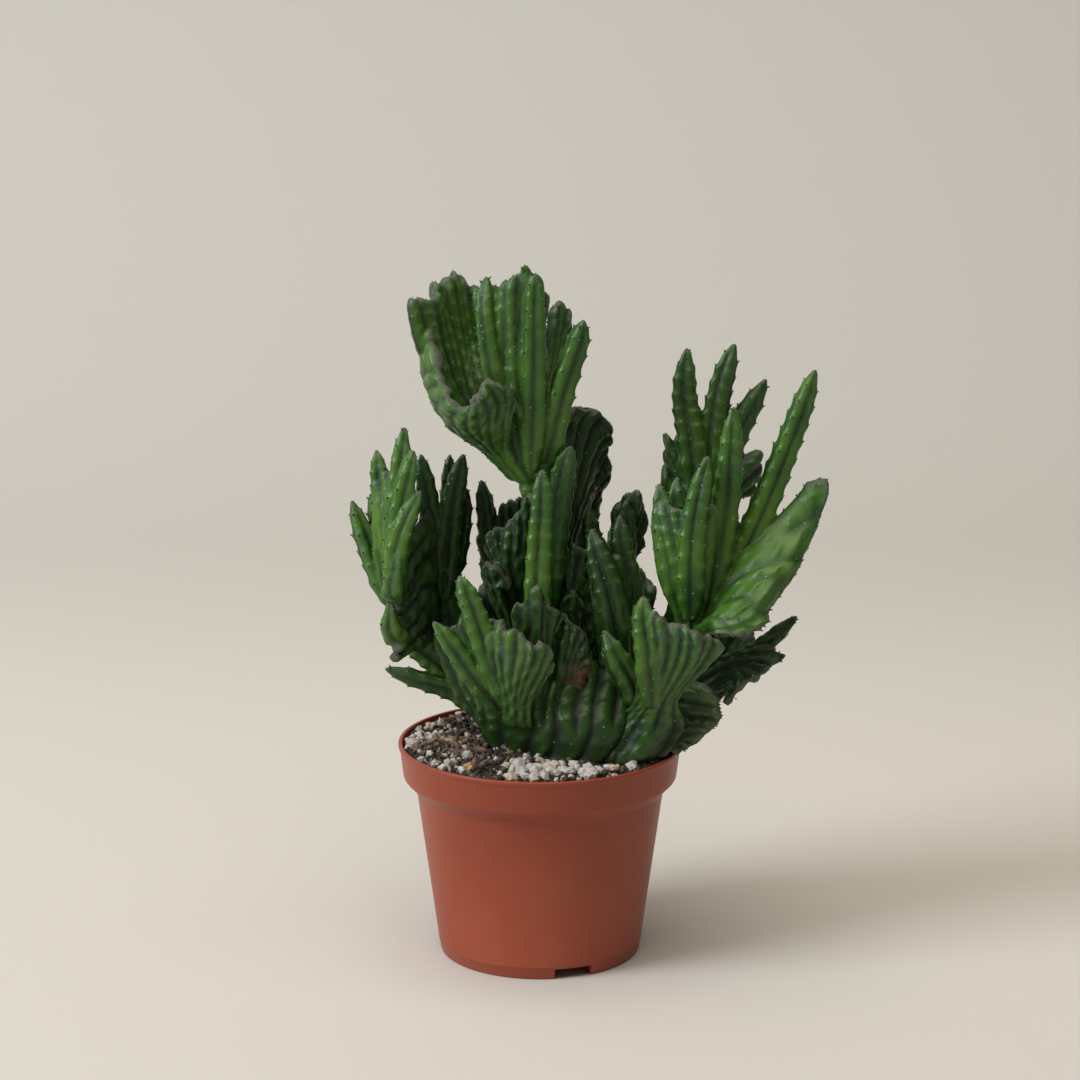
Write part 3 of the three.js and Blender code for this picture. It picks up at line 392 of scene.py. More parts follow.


# Each stem's tone is painted light and shade: low tones darken the stems that sit in shadow, tones above 1
# brighten lit ones and make them greener.
stems = {
    "crown": {
        "tone": 0.3,
        "voxel": 0.67,
        "sheets": [
            {"ribs": 8, "thick": 15, "depth": 1.6, "lobe": 2, "rows": [
                [(-14, -4, 82), (6, -14, 82), (30, -14, 82), (50, -8, 82)],
                [(-12, -2, 104), (6, -8, 108), (28, -8, 108), (50, -4, 106)],
                [(-10, 4, 122), (6, 4, 130), (26, 4, 132), (46, 4, 124)],
            ]},
            {"ribs": 8, "thick": 15, "depth": 1.6, "lobe": 2, "rows": [
                [(52, 4, 82), (38, 22, 82), (10, 24, 82), (-14, 12, 82)],
                [(54, 6, 104), (38, 22, 108), (10, 24, 108), (-14, 14, 104)],
                [(50, 8, 118), (36, 18, 128), (12, 20, 130), (-10, 12, 120)],
            ]},
            {"ribs": 10, "thick": 8, "depth": 1.4, "lobe": 1, "bare": True, "rows": [
                [(-20, -2, 84), (-12, -14, 84), (-2, -22, 84), (8, -28, 84), (20, -31, 84)],
                [(-24, -8, 102), (-13, -22, 104), (2, -28, 105), (18, -31, 104), (34, -29, 101)],
                [(-25, -12, 112), (-14, -25, 115), (3, -25, 116), (20, -23, 116), (38, -21, 113)],
                [(-24, -10, 120), (-13, -20, 125), (5, -14, 128), (22, -8, 131), (40, -6, 128)],
            ]},
        ],
        "fingers": [
            {"width": 36, "flat": 0.9, "path": [(6, 5, 82), (6, 5, 98), (8, 5, 116)]},
            {"width": 36, "flat": 0.9, "path": [(30, 5, 82), (30, 5, 98), (28, 5, 116)]},
        ],
    },
    "crest_front": {
        "tone": 1.25,
        "sheets": [
            {"ribs": 8, "thick": 6.5, "depth": 1.5, "lobe": 1.5, "rows": [
                [(-15, -25, 106), (-9, -29, 106), (-3, -29, 106)],
                [(-15, -31, 119), (-9, -34, 120), (-3, -33, 119)],
                [(-20, -34, 131), (-12, -39, 134), (-3, -40, 135), (3, -35, 131)],
                [(-24, -36, 144), (-20, -39, 151), (-16, -43, 155), (-12, -46, 155),
                 (-8, -47, 152), (-4, -46, 149), (1, -45, 148), (4, -42, 146), (5, -38, 140),
                 (2, -35, 133)],
            ]},
        ],
        "fingers": [
            {"width": 10.5, "flat": 0.85,
             "path": [(-10, -26, 108), (-22, -36, 141), (-28, -38, 160), (-33, -38, 173)]},
            {"width": 9.5, "flat": 0.8,
             "path": [(-13, -24, 110), (-26, -31, 127), (-35, -34, 141), (-44, -35, 153)]},
        ],
    },
    "crest_front_right": {
        "tone": 1.1,
        "sheets": [
            {"ribs": 9, "thick": 6.5, "depth": 1.5, "lobe": 1.5, "rows": [
                [(20, -28, 91), (34, -33, 90), (52, -26, 92)],
                [(30, -21, 106), (43, -29, 105), (60, -23, 105)],
                [(39, -27, 118), (48, -31, 119), (57, -27, 119)],
                [(40, -36, 138), (49, -41, 140), (60, -41, 139), (69, -36, 135)],
                [(39, -38, 155), (43, -42, 162), (47, -44, 161), (50, -46, 158), (57, -47, 157),
                 (62, -47, 155), (68, -46, 151), (73, -43, 148), (77, -40, 145)],
            ]},
        ],
        "fingers": [
            {"width": 10.5, "flat": 0.8,
             "path": [(46, -32, 116), (44, -41, 142), (42, -41, 155), (42, -40, 165)]},
        ],
    },
    "crest_low_right": {
        "tone": 0,
        "sheets": [
            {"ribs": 8, "thick": 6, "lobe": 2.5, "rows": [
                [(27, -8, 106), (30, -12, 97), (34, -16, 94)],
                [(59, 0, 121), (63, -6, 114), (59, -14, 108)],
                [(84, 5, 130), (82, 2, 124), (79, -4, 115)],
                [(106, 8, 141), (100, 6, 133), (102, 2, 128), (99, 0, 123), (93, -4, 120),
                 (82, -10, 115), (75, -14, 111)],
            ]},
            {"ribs": 8, "thick": 7, "depth": 1.3, "lobe": 1, "lime": 0.9, "ragged": 1.5, "rows": [
                [(12, -20, 94), (16, -26, 93), (22, -31, 92)],
                [(30, -13, 112), (40, -21, 108), (43, -30, 95)],
                [(50, -10, 123), (61, -16, 116), (63, -18, 105), (58, -22, 97), (52, -25, 95)],
                [(73, -18, 120), (77, -19, 116), (77, -20, 110), (74, -21, 103), (68, -22, 99),
                 (63, -23, 96), (58, -22, 95)],
            ]},
        ],
        "fingers": [
            {"width": 8.5, "flat": 0.7, "path": [(68, 2, 119), (91, 6, 129), (109, 8, 144)]},
            {"width": 8, "flat": 0.7, "path": [(68, 0, 114), (90, 3, 124), (104, 3, 128)]},
        ],
    },
    "crest_right": {
        "tone": 1.1,
        "sheets": [
            {"ribs": 7, "thick": 6, "depth": 1.3, "lobe": 2, "rows": [
                [(48, -6, 100), (61, -8, 101)],
                [(58, -10, 138), (67, -14, 139)],
                [(49, -10, 166), (57, -16, 174), (66, -16, 174), (77, -10, 166)],
                [(46, -8, 188), (49, -9, 200), (54, -12, 198), (62, -16, 197), (68, -14, 199),
                 (75, -8, 198), (84, -2, 189)],
            ]},
            {"ribs": 7, "thick": 5, "depth": 0.8, "lobe": 1.2, "ragged": 2.2, "rows": [
                [(66, -12, 143), (65, -15, 141), (62, -18, 140)],
                [(82, -6, 172), (84, -14, 167), (80, -22, 158), (74, -26, 153), (68, -26, 147)],
                [(103, -2, 194), (106, -8, 184), (100, -18, 171), (92, -26, 161), (85, -31, 155),
                 (78, -32, 152), (70, -31, 149)],
                [(113, 0, 206), (121, 2, 207), (121, 0, 197), (116, -4, 185), (111, -10, 176),
                 (106, -16, 167), (100, -20, 158), (96, -25, 154), (95, -30, 149), (91, -34, 146),
                 (84, -37, 147), (77, -37, 146), (70, -34, 145)],
            ]},
        ],
        "fingers": [
            {"width": 10.5, "flat": 0.7, "path": [(60, -14, 148), (53, -12, 182), (49, -8, 205)]},
            {"width": 11, "flat": 0.8, "path": [(62, -18, 149), (63, -18, 187), (69, -14, 218)]},
            {"width": 11.5, "flat": 0.8, "path": [(69, -12, 152), (77, -8, 198), (80, -6, 237)]},
            {"width": 7.5, "flat": 0.8, "path": [(58, -4, 171), (57, -2, 192), (57, 0, 206)]},
            {"width": 11, "flat": 0.8,
             "path": [(67, -10, 145), (87, -4, 180), (102, 0, 217), (114, 2, 251)]},
            {"width": 15, "flat": 0.7,
             "path": [(42, -2, 94), (48, -6, 111), (56, -10, 129), (62, -14, 152)]},
        ],
    },
    "crest_top": {
        "tone": 1,
        "voxel": 0.67,
        "sheets": [
            {"ribs": 8, "thick": 6, "depth": 1.3, "lobe": 3, "rows": [
                [(-8, 12, 202), (-4, 14, 200), (0, 15, 202)],
                [(-33, 12, 227), (-27, 19, 229), (-18, 22, 233)],
                [(-49, 15, 253), (-41, 26, 257), (-32, 35, 256), (-23, 36, 256)],
                [(-56, 17, 277), (-52, 20, 280), (-47, 26, 279), (-44, 32, 284), (-39, 37, 288),
                 (-35, 40, 286), (-30, 41, 283), (-24, 39, 281)],
            ]},
            {"ribs": 8, "thick": 6, "depth": 1.3, "lobe": 3, "rows": [
                [(-8, 4, 203), (-4, 1, 201), (1, 4, 203)],
                [(-18, 3, 236), (-10, -4, 239), (1, 0, 240)],
                [(-24, 9, 262), (-14, -3, 267), (2, 3, 267)],
                [(-28, 15, 281), (-24, 11, 286), (-20, 6, 288), (-17, 1, 287), (-13, -2, 293),
                 (-8, -4, 295), (-4, -4, 295), (0, -1, 292), (3, 5, 281)],
            ]},
            {"ribs": 12, "thick": 5.5, "depth": 1.1, "lobe": 1, "rows": [
                [(-10, 6, 203), (-6, 3, 202), (-2, -1, 203)],
                [(-24, 10, 217), (-19, 3, 217), (-11, -4, 219)],
                [(-40, 17, 231), (-35, 6, 226), (-26, -4, 225), (-18, -9, 228), (-11, -10, 232)],
                [(-48, 22, 259), (-47, 19, 250), (-45, 11, 241), (-40, 3, 235), (-34, -5, 232),
                 (-28, -10, 231), (-23, -13, 236), (-18, -13, 241), (-14, -11, 242), (-9, -8, 239)],
                [(-44, 20, 266), (-42, 13, 259), (-41, 5, 249), (-38, -3, 243), (-35, -9, 240),
                 (-30, -14, 238), (-28, -18, 241), (-27, -19, 245), (-24, -19, 249),
                 (-20, -18, 250), (-16, -15, 248), (-11, -11, 244)],
            ]},
            {"ribs": 5, "thick": 5.5, "lobe": 2, "rows": [
                [(-3, 14, 206), (3, 16, 207)],
                [(1, 20, 239), (8, 24, 243)],
                [(4, 24, 275), (7, 27, 278), (11, 30, 276), (14, 31, 273), (14, 30, 262), (11, 30, 253)],
            ]},
        ],
        "fingers": [
            {"width": 10.5, "flat": 0.7,
             "path": [(-1, 4, 204), (4, 0, 221), (9, -4, 243), (15, -6, 262), (18, -6, 273)]},
            {"width": 9.5, "flat": 0.6,
             "path": [(-3, -2, 209), (-2, -6, 239), (-2, -7, 273), (-2, -6, 292)]},
            {"width": 8.5, "flat": 0.6,
             "path": [(-7, 0, 213), (-10, -4, 247), (-8, -4, 272), (-6, -5, 296)]},
            {"width": 8.5, "flat": 0.6,
             "path": [(-10, 0, 217), (-18, -4, 247), (-22, -4, 272), (-22, 2, 290)]},
            {"width": 17, "flat": 0.7,
             "path": [(8, 6, 101), (7, 8, 133), (4, 8, 168), (-1, 4, 199), (-5, 2, 230)]},
        ],
    },
    "crest_left": {
        "tone": 1.35,
        "sheets": [
            {"ribs": 6, "thick": 5.5, "lobe": 2, "rows": [
                [(-54, 4, 134), (-58, -8, 138)],
                [(-62, 0, 153), (-58, -8, 155)],
                [(-66, -2, 179), (-63, -8, 185), (-60, -10, 185), (-56, -8, 183)],
                [(-68, 2, 204), (-66, 0, 209), (-61, -4, 212), (-56, -4, 214), (-53, -4, 209)],
            ]},
            # this sheet sits in shade inside the plant: its colours are painted darker, as painted shade
            {"ribs": 7, "thick": 5.5, "lobe": 1.5, "paintedDim": 0.42, "rows": [
                [(-46, 12, 190), (-44, 12, 168), (-44, 12, 148), (-45, 8, 129)],
                [(-52, 3, 184), (-52, 2, 166), (-52, 0, 149), (-53, -1, 131)],
                [(-58, -10, 177), (-59, -13, 168), (-60, -14, 158), (-62, -15, 150),
                 (-62, -15, 141), (-63, -15, 134), (-61, -12, 127)],
            ]},
        ],
        "fingers": [
            {"width": 8.5, "flat": 0.75, "path": [(-64, -2, 158), (-66, 0, 196), (-68, 2, 217)]},
            {"width": 9.5, "flat": 0.8, "path": [(-61, -8, 159), (-59, -8, 198), (-56, -4, 228)]},
            {"width": 9.5, "flat": 0.8, "path": [(-61, -12, 160), (-58, -12, 194), (-52, -8, 219)]},
            {"width": 9, "flat": 0.8, "path": [(-61, -14, 156), (-58, -16, 182), (-49, -12, 203)]},
            {"width": 9.5, "flat": 0.8,
             "path": [(-61, 2, 148), (-68, 3, 165), (-73, 4, 178), (-79, 5, 195)]},
            {"width": 7, "flat": 0.8, "path": [(-62, 8, 151), (-67, 8, 177), (-71, 8, 197)]},
            {"width": 9, "flat": 0.9, "path": [(-61, -9, 156), (-60, -16, 165), (-58, -19, 180)]},
            {"width": 9, "flat": 0.9, "path": [(-59, -7, 138), (-62, -14, 145), (-62, -19, 158)]},
            {"width": 12.5, "flat": 0.7,
             "path": [(-8, 4, 93), (-25, 8, 107), (-42, 8, 123), (-53, 4, 134), (-59, -2, 153)]},
        ],
    },
    "stem_centre": {
        "tone": 1,
        "fingers": [
            {"width": 10.5, "flat": 0.85,
             "path": [(1, -18, 119), (-1, -18, 153), (0, -16, 182), (1, -15, 199), (1, -14, 212)]},
        ],
    },
    "crest_lower_left": {
        "tone": 0.5,
        "sheets": [
            {"ribs": 8, "thick": 6.5, "depth": 1.3, "lobe": 2, "rows": [
                [(-14, -4, 90), (-10, -10, 89), (-6, -16, 89)],
                [(-35, 2, 111), (-24, -8, 115), (-14, -18, 114)],
                [(-46, 0, 139), (-40, -6, 144), (-31, -12, 151), (-21, -16, 151), (-14, -20, 148)],
            ]},
        ],
        "fingers": [
            {"width": 8.5, "flat": 0.7,
             "path": [(-21, 0, 102), (-36, 4, 112), (-51, 4, 117), (-66, 4, 122)]},
        ],
    },
    "crest_curl": {
        "tone": 0.5,
        "sheets": [
            {"ribs": 6, "thick": 6, "lobe": 2, "rows": [
                [(-7, -20, 120), (2, -20, 120)],
                [(-10, -24, 142), (-2, -28, 142), (5, -24, 142)],
                [(-12, -24, 154), (-10, -26, 160), (-5, -28, 161), (-2, -33, 169), (0, -33, 170),
                 (2, -28, 160), (7, -22, 156), (10, -20, 151)],
            ]},
        ],
    },
    "crest_front_back": {
        "tone": 0,
        "sheets": [
            {"ribs": 9, "thick": 6.5, "lobe": 1.5, "dead": (19, -22, 125, 6), "rows": [
                [(-1, -16, 90), (7, -18, 88), (16, -18, 88)],
                [(0, -16, 114), (9, -20, 115), (19, -20, 113)],
                [(3, -18, 140), (10, -24, 140), (15, -24, 133), (17, -22, 124)],
                [(4, -14, 154), (9, -18, 153), (14, -22, 150), (19, -24, 146), (21, -24, 139),
                 (21, -22, 129), (18, -20, 120)],
            ]},
        ],
    },
    "stem_low_front": {
        "tone": 0.5,
        "fingers": [
            {"width": 11, "flat": 0.75,
             "path": [(42, -20, 110), (37, -26, 125), (31, -28, 136), (26, -26, 147)]},
        ],
    },
    "crest_inner_right": {
        "tone": 0,
        "sheets": [
            {"ribs": 5, "thick": 6.5, "lobe": 2, "rows": [
                [(25, -12, 117), (40, -12, 117)],
                [(22, -12, 147), (30, -14, 151), (39, -10, 149)],
                [(20, -10, 173), (26, -12, 177), (33, -8, 176), (39, -6, 172)],
            ]},
            {"ribs": 4, "thick": 6, "lobe": 2, "rows": [
                [(14, -2, 121), (24, 2, 122)],
                [(11, 0, 153), (18, 2, 152)],
                [(10, 2, 169), (12, 2, 176), (15, 2, 178), (18, 4, 175), (20, 4, 167)],
            ]},
            {"ribs": 3, "thick": 6, "lobe": 2, "rows": [
                [(13, -8, 116), (21, -8, 116)],
                [(10, -7, 142), (18, -7, 142)],
                [(9, -6, 155), (13, -6, 160), (16, -6, 157), (19, -6, 152)],
            ]},
        ],
        "fingers": [
            {"width": 11.5, "flat": 0.8,
             "path": [(35, -14, 126), (30, -17, 157), (25, -16, 174), (21, -14, 187)]},
            {"width": 10.5, "flat": 0.8,
             "path": [(39, -8, 129), (37, -10, 160), (34, -8, 176), (33, -6, 191)]},
            {"width": 8.5, "flat": 0.8, "path": [(29, 0, 131), (25, 2, 161), (22, 4, 178), (20, 4, 191)]},
            {"width": 15, "flat": 0.7, "path": [(27, 0, 100), (28, -2, 119), (29, -4, 137), (28, -4, 158)]},
        ],
    },
    "crest_mid": {
        "tone": 0,
        "sheets": [
            {"ribs": 7, "thick": 6.5, "lobe": 2, "rows": [
                [(-10, 0, 135), (-1, 0, 135)],
                [(-18, -4, 166), (-11, -6, 169), (-2, -4, 171)],
                [(-23, 0, 174), (-22, -2, 183), (-18, -4, 187), (-14, -6, 189), (-10, -6, 193),
                 (-7, -6, 198), (-5, -6, 203), (-1, -4, 202)],
            ]},
            {"ribs": 4, "thick": 6, "lobe": 2, "rows": [
                [(-13, -6, 135), (-8, -6, 135)],
                [(-22, -8, 159), (-15, -10, 160)],
                [(-25, -8, 166), (-23, -10, 173), (-19, -12, 173), (-15, -12, 167), (-12, -12, 158)],
            ]},
        ],
    },
    "stem_upper": {
        "tone": 0.5,
        "sheets": [
            {"ribs": 4, "thick": 6, "lobe": 2, "rows": [
                [(3, 0, 181), (8, 2, 182)],
                [(6, -2, 200), (13, 2, 200)],
                [(9, -4, 211), (13, -4, 218), (15, -2, 213), (15, 0, 205), (12, 2, 198)],
            ]},
        ],
        "fingers": [
            {"width": 11, "flat": 0.7,
             "path": [(5, 2, 148), (5, 0, 170), (7, -2, 190), (10, -3, 209), (13, -4, 220)]},
        ],
    },
    "crest_back_right": {
        "tone": 0,
        "sheets": [
            {"ribs": 9, "thick": 6, "lobe": 2, "rows": [
                [(2, 14, 160), (8, 18, 153)],
                [(5, 14, 193), (14, 18, 190), (19, 24, 185)],
                [(7, 14, 223), (15, 18, 224), (23, 26, 216), (23, 30, 198), (20, 32, 189)],
                [(9, 14, 226), (14, 16, 233), (20, 20, 230), (25, 24, 230), (31, 28, 223),
                 (31, 31, 215), (29, 32, 209), (31, 33, 202), (28, 34, 193), (22, 34, 183)],
            ]},
        ],
        "fingers": [
            {"width": 14, "flat": 0.7, "path": [(15, 14, 105), (11, 16, 131), (6, 16, 160), (5, 15, 184)]},
        ],
    },
    "crest_left_back": {
        "tone": 0,
        "sheets": [
            {"ribs": 6, "thick": 6.5, "lobe": 2, "rows": [
                [(-43, 17, 128), (-36, 18, 128)],
                [(-48, 15, 154), (-41, 17, 152), (-34, 18, 154)],
                [(-49, 14, 193), (-46, 16, 192), (-39, 18, 194), (-33, 18, 192), (-31, 20, 185)],
            ]},
        ],
        "fingers": [
            {"width": 9.5, "flat": 0.8, "path": [(-43, 16, 149), (-46, 15, 184), (-50, 13, 213)]},
            {"width": 10, "flat": 0.8, "path": [(-40, 16, 149), (-37, 15, 188), (-32, 13, 213)]},
            {"width": 7.5, "flat": 0.8, "path": [(-40, 22, 156), (-39, 22, 187), (-38, 22, 211)]},
            {"width": 7, "flat": 0.8, "path": [(-37, 20, 156), (-33, 20, 178), (-31, 20, 197)]},
            {"width": 15, "flat": 0.7,
             "path": [(-4, 14, 90), (-17, 15, 105), (-32, 16, 126), (-41, 17, 158)]},
        ],
    },
    "crest_right_back": {
        "tone": 0.5,
        "sheets": [
            {"ribs": 9, "thick": 6.5, "lobe": 3, "rows": [
                [(59, 14, 149), (70, 14, 149)],
                [(58, 18, 183), (70, 20, 187), (81, 24, 186)],
                [(49, 20, 198), (51, 22, 208), (52, 24, 214), (51, 26, 222), (58, 28, 221),
                 (68, 30, 215), (81, 30, 215), (93, 32, 213), (96, 32, 208), (94, 32, 198),
                 (89, 30, 191)],
            ]},
        ],
        "fingers": [
            {"width": 11.5, "flat": 0.8,
             "path": [(68, 18, 183), (64, 24, 216), (61, 28, 235), (62, 30, 255)]},
            {"width": 10.5, "flat": 0.8,
             "path": [(70, 20, 183), (73, 26, 216), (76, 28, 237), (82, 30, 257)]},
            {"width": 10.5, "flat": 0.8, "path": [(73, 24, 186), (82, 30, 215), (96, 34, 241)]},
            {"width": 15, "flat": 0.7,
             "path": [(36, 12, 90), (45, 14, 110), (56, 14, 132), (66, 14, 158), (68, 18, 187)]},
        ],
    },
    "crest_mid_back": {
        "tone": 0,
        "sheets": [
            {"ribs": 6, "thick": 6.5, "lobe": 2, "rows": [
                [(-17, 24, 125), (-6, 22, 125)],
                [(-23, 26, 155), (-15, 26, 157), (-6, 24, 158)],
                [(-28, 28, 174), (-25, 28, 179), (-18, 28, 185), (-14, 26, 192), (-9, 24, 193),
                 (-4, 22, 191)],
            ]},
        ],
        "fingers": [
            {"width": 8.5, "flat": 0.8, "path": [(-19, 28, 146), (-22, 27, 177), (-25, 26, 199)]},
            {"width": 12, "flat": 0.7,
             "path": [(4, 22, 96), (-4, 24, 111), (-12, 24, 129), (-16, 26, 151)]},
        ],
    },
    "crest_inner_back": {
        "tone": 0,
        "sheets": [
            {"ribs": 6, "thick": 6, "lobe": 2, "rows": [
                [(32, 10, 133), (41, 10, 133)],
                [(31, 12, 163), (39, 12, 163)],
                [(31, 8, 191), (34, 10, 196), (39, 10, 200), (44, 12, 197), (44, 14, 186), (41, 14, 173)],
            ]},
        ],
        "fingers": [
            {"width": 10, "flat": 0.7, "path": [(35, 8, 151), (35, 6, 177), (36, 4, 195)]},
            {"width": 14, "flat": 0.7, "path": [(30, 14, 96), (33, 14, 114), (36, 12, 132), (36, 10, 155)]},
        ],
    },
    "crest_rear_left": {
        "tone": 0.5,
        "sheets": [
            {"ribs": 9, "thick": 6.5, "lobe": 2.5, "rows": [
                [(12, 28, 88), (-2, 26, 88), (-14, 14, 88)],
                [(6, 40, 116), (-12, 36, 118), (-24, 20, 114)],
                [(12, 58, 140), (0, 58, 150), (-14, 50, 155), (-26, 38, 152), (-34, 26, 144),
                 (-36, 14, 134)],
            ]},
        ],
        "fingers": [
            {"face": (0, 1, 0), "width": 10.5, "flat": 0.8,
             "path": [(-2, 28, 100), (-12, 40, 130), (-17, 47, 152), (-20, 50, 168)]},
        ],
    },
    "crest_rear_centre": {
        "tone": 0.5,
        "sheets": [
            {"ribs": 10, "thick": 6.5, "lobe": 2.5, "rows": [
                [(42, 26, 88), (24, 32, 88), (8, 28, 88)],
                [(46, 42, 122), (24, 50, 126), (4, 42, 122)],
                [(52, 50, 148), (42, 58, 156), (28, 64, 158), (14, 62, 157), (2, 54, 150), (-4, 44, 142)],
            ]},
        ],
        "fingers": [
            {"face": (0, 1, 0), "width": 10.5, "flat": 0.8,
             "path": [(26, 28, 100), (30, 48, 135), (33, 57, 160), (36, 60, 178)]},
            {"face": (0, 1, 0), "width": 10, "flat": 0.8,
             "path": [(14, 28, 100), (10, 44, 135), (8, 50, 160), (8, 52, 182)]},
        ],
    },
    "crest_rear_right": {
        "tone": 0.5,
        "sheets": [
            {"ribs": 9, "thick": 6.5, "lobe": 2.5, "rows": [
                [(48, 2, 92), (44, 16, 92), (34, 24, 92)],
                [(76, 8, 108), (68, 28, 112), (48, 42, 112)],
                [(90, 0, 128), (92, 14, 136), (88, 28, 140), (78, 42, 142), (66, 50, 138), (54, 56, 130)],
            ]},
        ],
        "fingers": [
            {"face": (0, 1, 0), "width": 10, "flat": 0.8,
             "path": [(50, 20, 96), (68, 30, 118), (78, 36, 138), (82, 38, 154)]},
        ],
    },
    "stem_rear": {
        "tone": 0.5,
        "fingers": [
            {"face": (0, 1, 0), "width": 11.5, "flat": 0.85,
             "path": [(20, 22, 100), (16, 34, 140), (20, 38, 180), (26, 38, 208)]},
        ],
    },
}


def newMaterial(name):
    material = bpy.data.materials.new(name)
    material.use_nodes = True
    tree = material.node_tree
    return material, tree.nodes, tree.links, tree.nodes["Principled BSDF"]


def node(nodes, kind, **values):
    made = nodes.new(kind)
    for key, value in values.items():
        setattr(made, key, value)
    return made


def colourRamp(nodes, stops):
    ramp = nodes.new("ShaderNodeValToRGB")
    elements = ramp.color_ramp.elements
    while len(elements) < len(stops):
        elements.new(0.5)
    for element, (place, colour) in zip(elements, stops):
        element.position = place
        element.color = (*colour, 1)
    return ramp


def mixColour(nodes, links, share, first, second, way="MIX"):
    # share, first and second are each a socket or a plain value
    mix = node(nodes, "ShaderNodeMix", data_type="RGBA", blend_type=way)
    for socket, value in ((mix.inputs[0], share), (mix.inputs[6], first), (mix.inputs[7], second)):
        if isinstance(value, bpy.types.NodeSocket):
            links.new(value, socket)
        elif isinstance(value, tuple):
            socket.default_value = (*value, 1)
        else:
            socket.default_value = value
    return mix.outputs[2]


def calculate(nodes, links, way, first, second, third=None, clamp=False):
    done = node(nodes, "ShaderNodeMath", operation=way, use_clamp=clamp)
    for socket, value in zip(done.inputs, (first, second, third)):
        if isinstance(value, bpy.types.NodeSocket):
            links.new(value, socket)
        elif value is not None:
            socket.default_value = value
    return done.outputs[0]


def grainGroup():
    # uneven tone at three sizes, and a fine bump
    group = bpy.data.node_groups.new("grain", "ShaderNodeTree")
    for name, kind, way in (("Vector", "NodeSocketVector", "INPUT"), ("Scale", "NodeSocketFloat", "INPUT"),
                            ("Patches", "NodeSocketFloat", "OUTPUT"), ("Specks", "NodeSocketFloat", "OUTPUT"),
                            ("Fine", "NodeSocketFloat", "OUTPUT")):
        group.interface.new_socket(name=name, in_out=way, socket_type=kind)
    enter = group.nodes.new("NodeGroupInput")
    leave = group.nodes.new("NodeGroupOutput")
    for name, factor, detail in (("Patches", 1, 3), ("Specks", 7, 2), ("Fine", 22, 4)):
        scale = calculate(group.nodes, group.links, "MULTIPLY", enter.outputs["Scale"], factor)
        noise = node(group.nodes, "ShaderNodeTexNoise")
        noise.inputs["Detail"].default_value = detail
        group.links.new(enter.outputs["Vector"], noise.inputs["Vector"])
        group.links.new(scale, noise.inputs["Scale"])
        group.links.new(noise.outputs["Fac"], leave.inputs[name])
    return group


grain = grainGroup()


def addGrain(nodes, links, scale):
    place = nodes.new("ShaderNodeTexCoord")
    made = nodes.new("ShaderNodeGroup")
    made.node_tree = grain
    made.inputs["Scale"].default_value = scale
    links.new(place.outputs["Object"], made.inputs["Vector"])
    return made


def addBump(nodes, links, height, strength, distance):
    bump = nodes.new("ShaderNodeBump")
    bump.inputs["Strength"].default_value = strength
    bump.inputs["Distance"].default_value = distance
    links.new(height, bump.inputs["Height"])
    return bump.outputs["Normal"]


def addDots(nodes, links, place, scale, solid, gone):
    # round dots that fade from the one radius to the other, and a colour of its own for each
    dots = node(nodes, "ShaderNodeTexVoronoi", feature="F1")
    dots.inputs["Scale"].default_value = scale
    links.new(place.outputs["Object"], dots.inputs["Vector"])
    share = colourRamp(nodes, [(0.0, (1, 1, 1)), (solid, (1, 1, 1)), (gone, (0, 0, 0))])
    links.new(dots.outputs["Distance"], share.inputs["Fac"])
    return share.outputs["Color"], dots.outputs["Color"]


stemLook = {
    # groove, flank and ridge are painted shade, darkest in the deep grooves
    "grooveShade": (0.003, 0.010, 0.003),
    "flank": (0.010, 0.044, 0.006),
    "ridge": (0.036, 0.112, 0.013),
    "young": (0.090, 0.185, 0.016),
    "bloom": (0.110, 0.170, 0.115),
    "lime": (0.200, 0.270, 0.080),
    "base": (0.62, 0.60, 0.70),
    "darkerLow": (0.092, 0.130, 1.0, 0.0),   # the stems are darker towards the bottom: between these two heights, by these shares
    "scab": (0.030, 0.032, 0.024),
    "scabPale": (0.150, 0.160, 0.125),
    "tooth": (0.050, 0.042, 0.028),
    "dead": (0.060, 0.030, 0.014),
    "deadPale": (0.150, 0.080, 0.042),
    "speck": (0.340, 0.370, 0.310),
    "shade": (0.45, 0.50, 0.45),     # a stem of tone 0 is painted this share of a tone 1 stem's colours: painted shade for stems that sit in shadow
    "mottle": 38,                    # how fine the skin's mottling is
    "heights": (0.18, 0.66, 1.0),    # rib heights at which the painted shade of groove, flank and ridge has its own colour
    "youngPatch": (3.2, -1.3),       # how sharply the patches of young green are cut out of the mottling
    "youngShare": (0.1, 0.55),       # how green they are on a stem of tone 0, and what a stem's tone adds: the lit stems are painted greener
    "bloomPatch": (3.0, -1.15),
    "bloomShare": 0.62,
    "specks": (300, 0.09, 0.15),     # how fine they are, and the two radii between which they fade
    "speckSkip": 0.72,               # share of the specks that are left out
    "speckShare": 0.5,
    "scabPatch": (1.6, -0.5),
    "scabShare": 1.5,
    "rough": (0.2, 0.22),            # what the mottling adds, and the least
    "roughScab": 0.35,
    "roughGroove": 0.45,
    "shine": 0.35,
    "relief": (0.35, 0.0005),        # share and depth of the fine bump
}


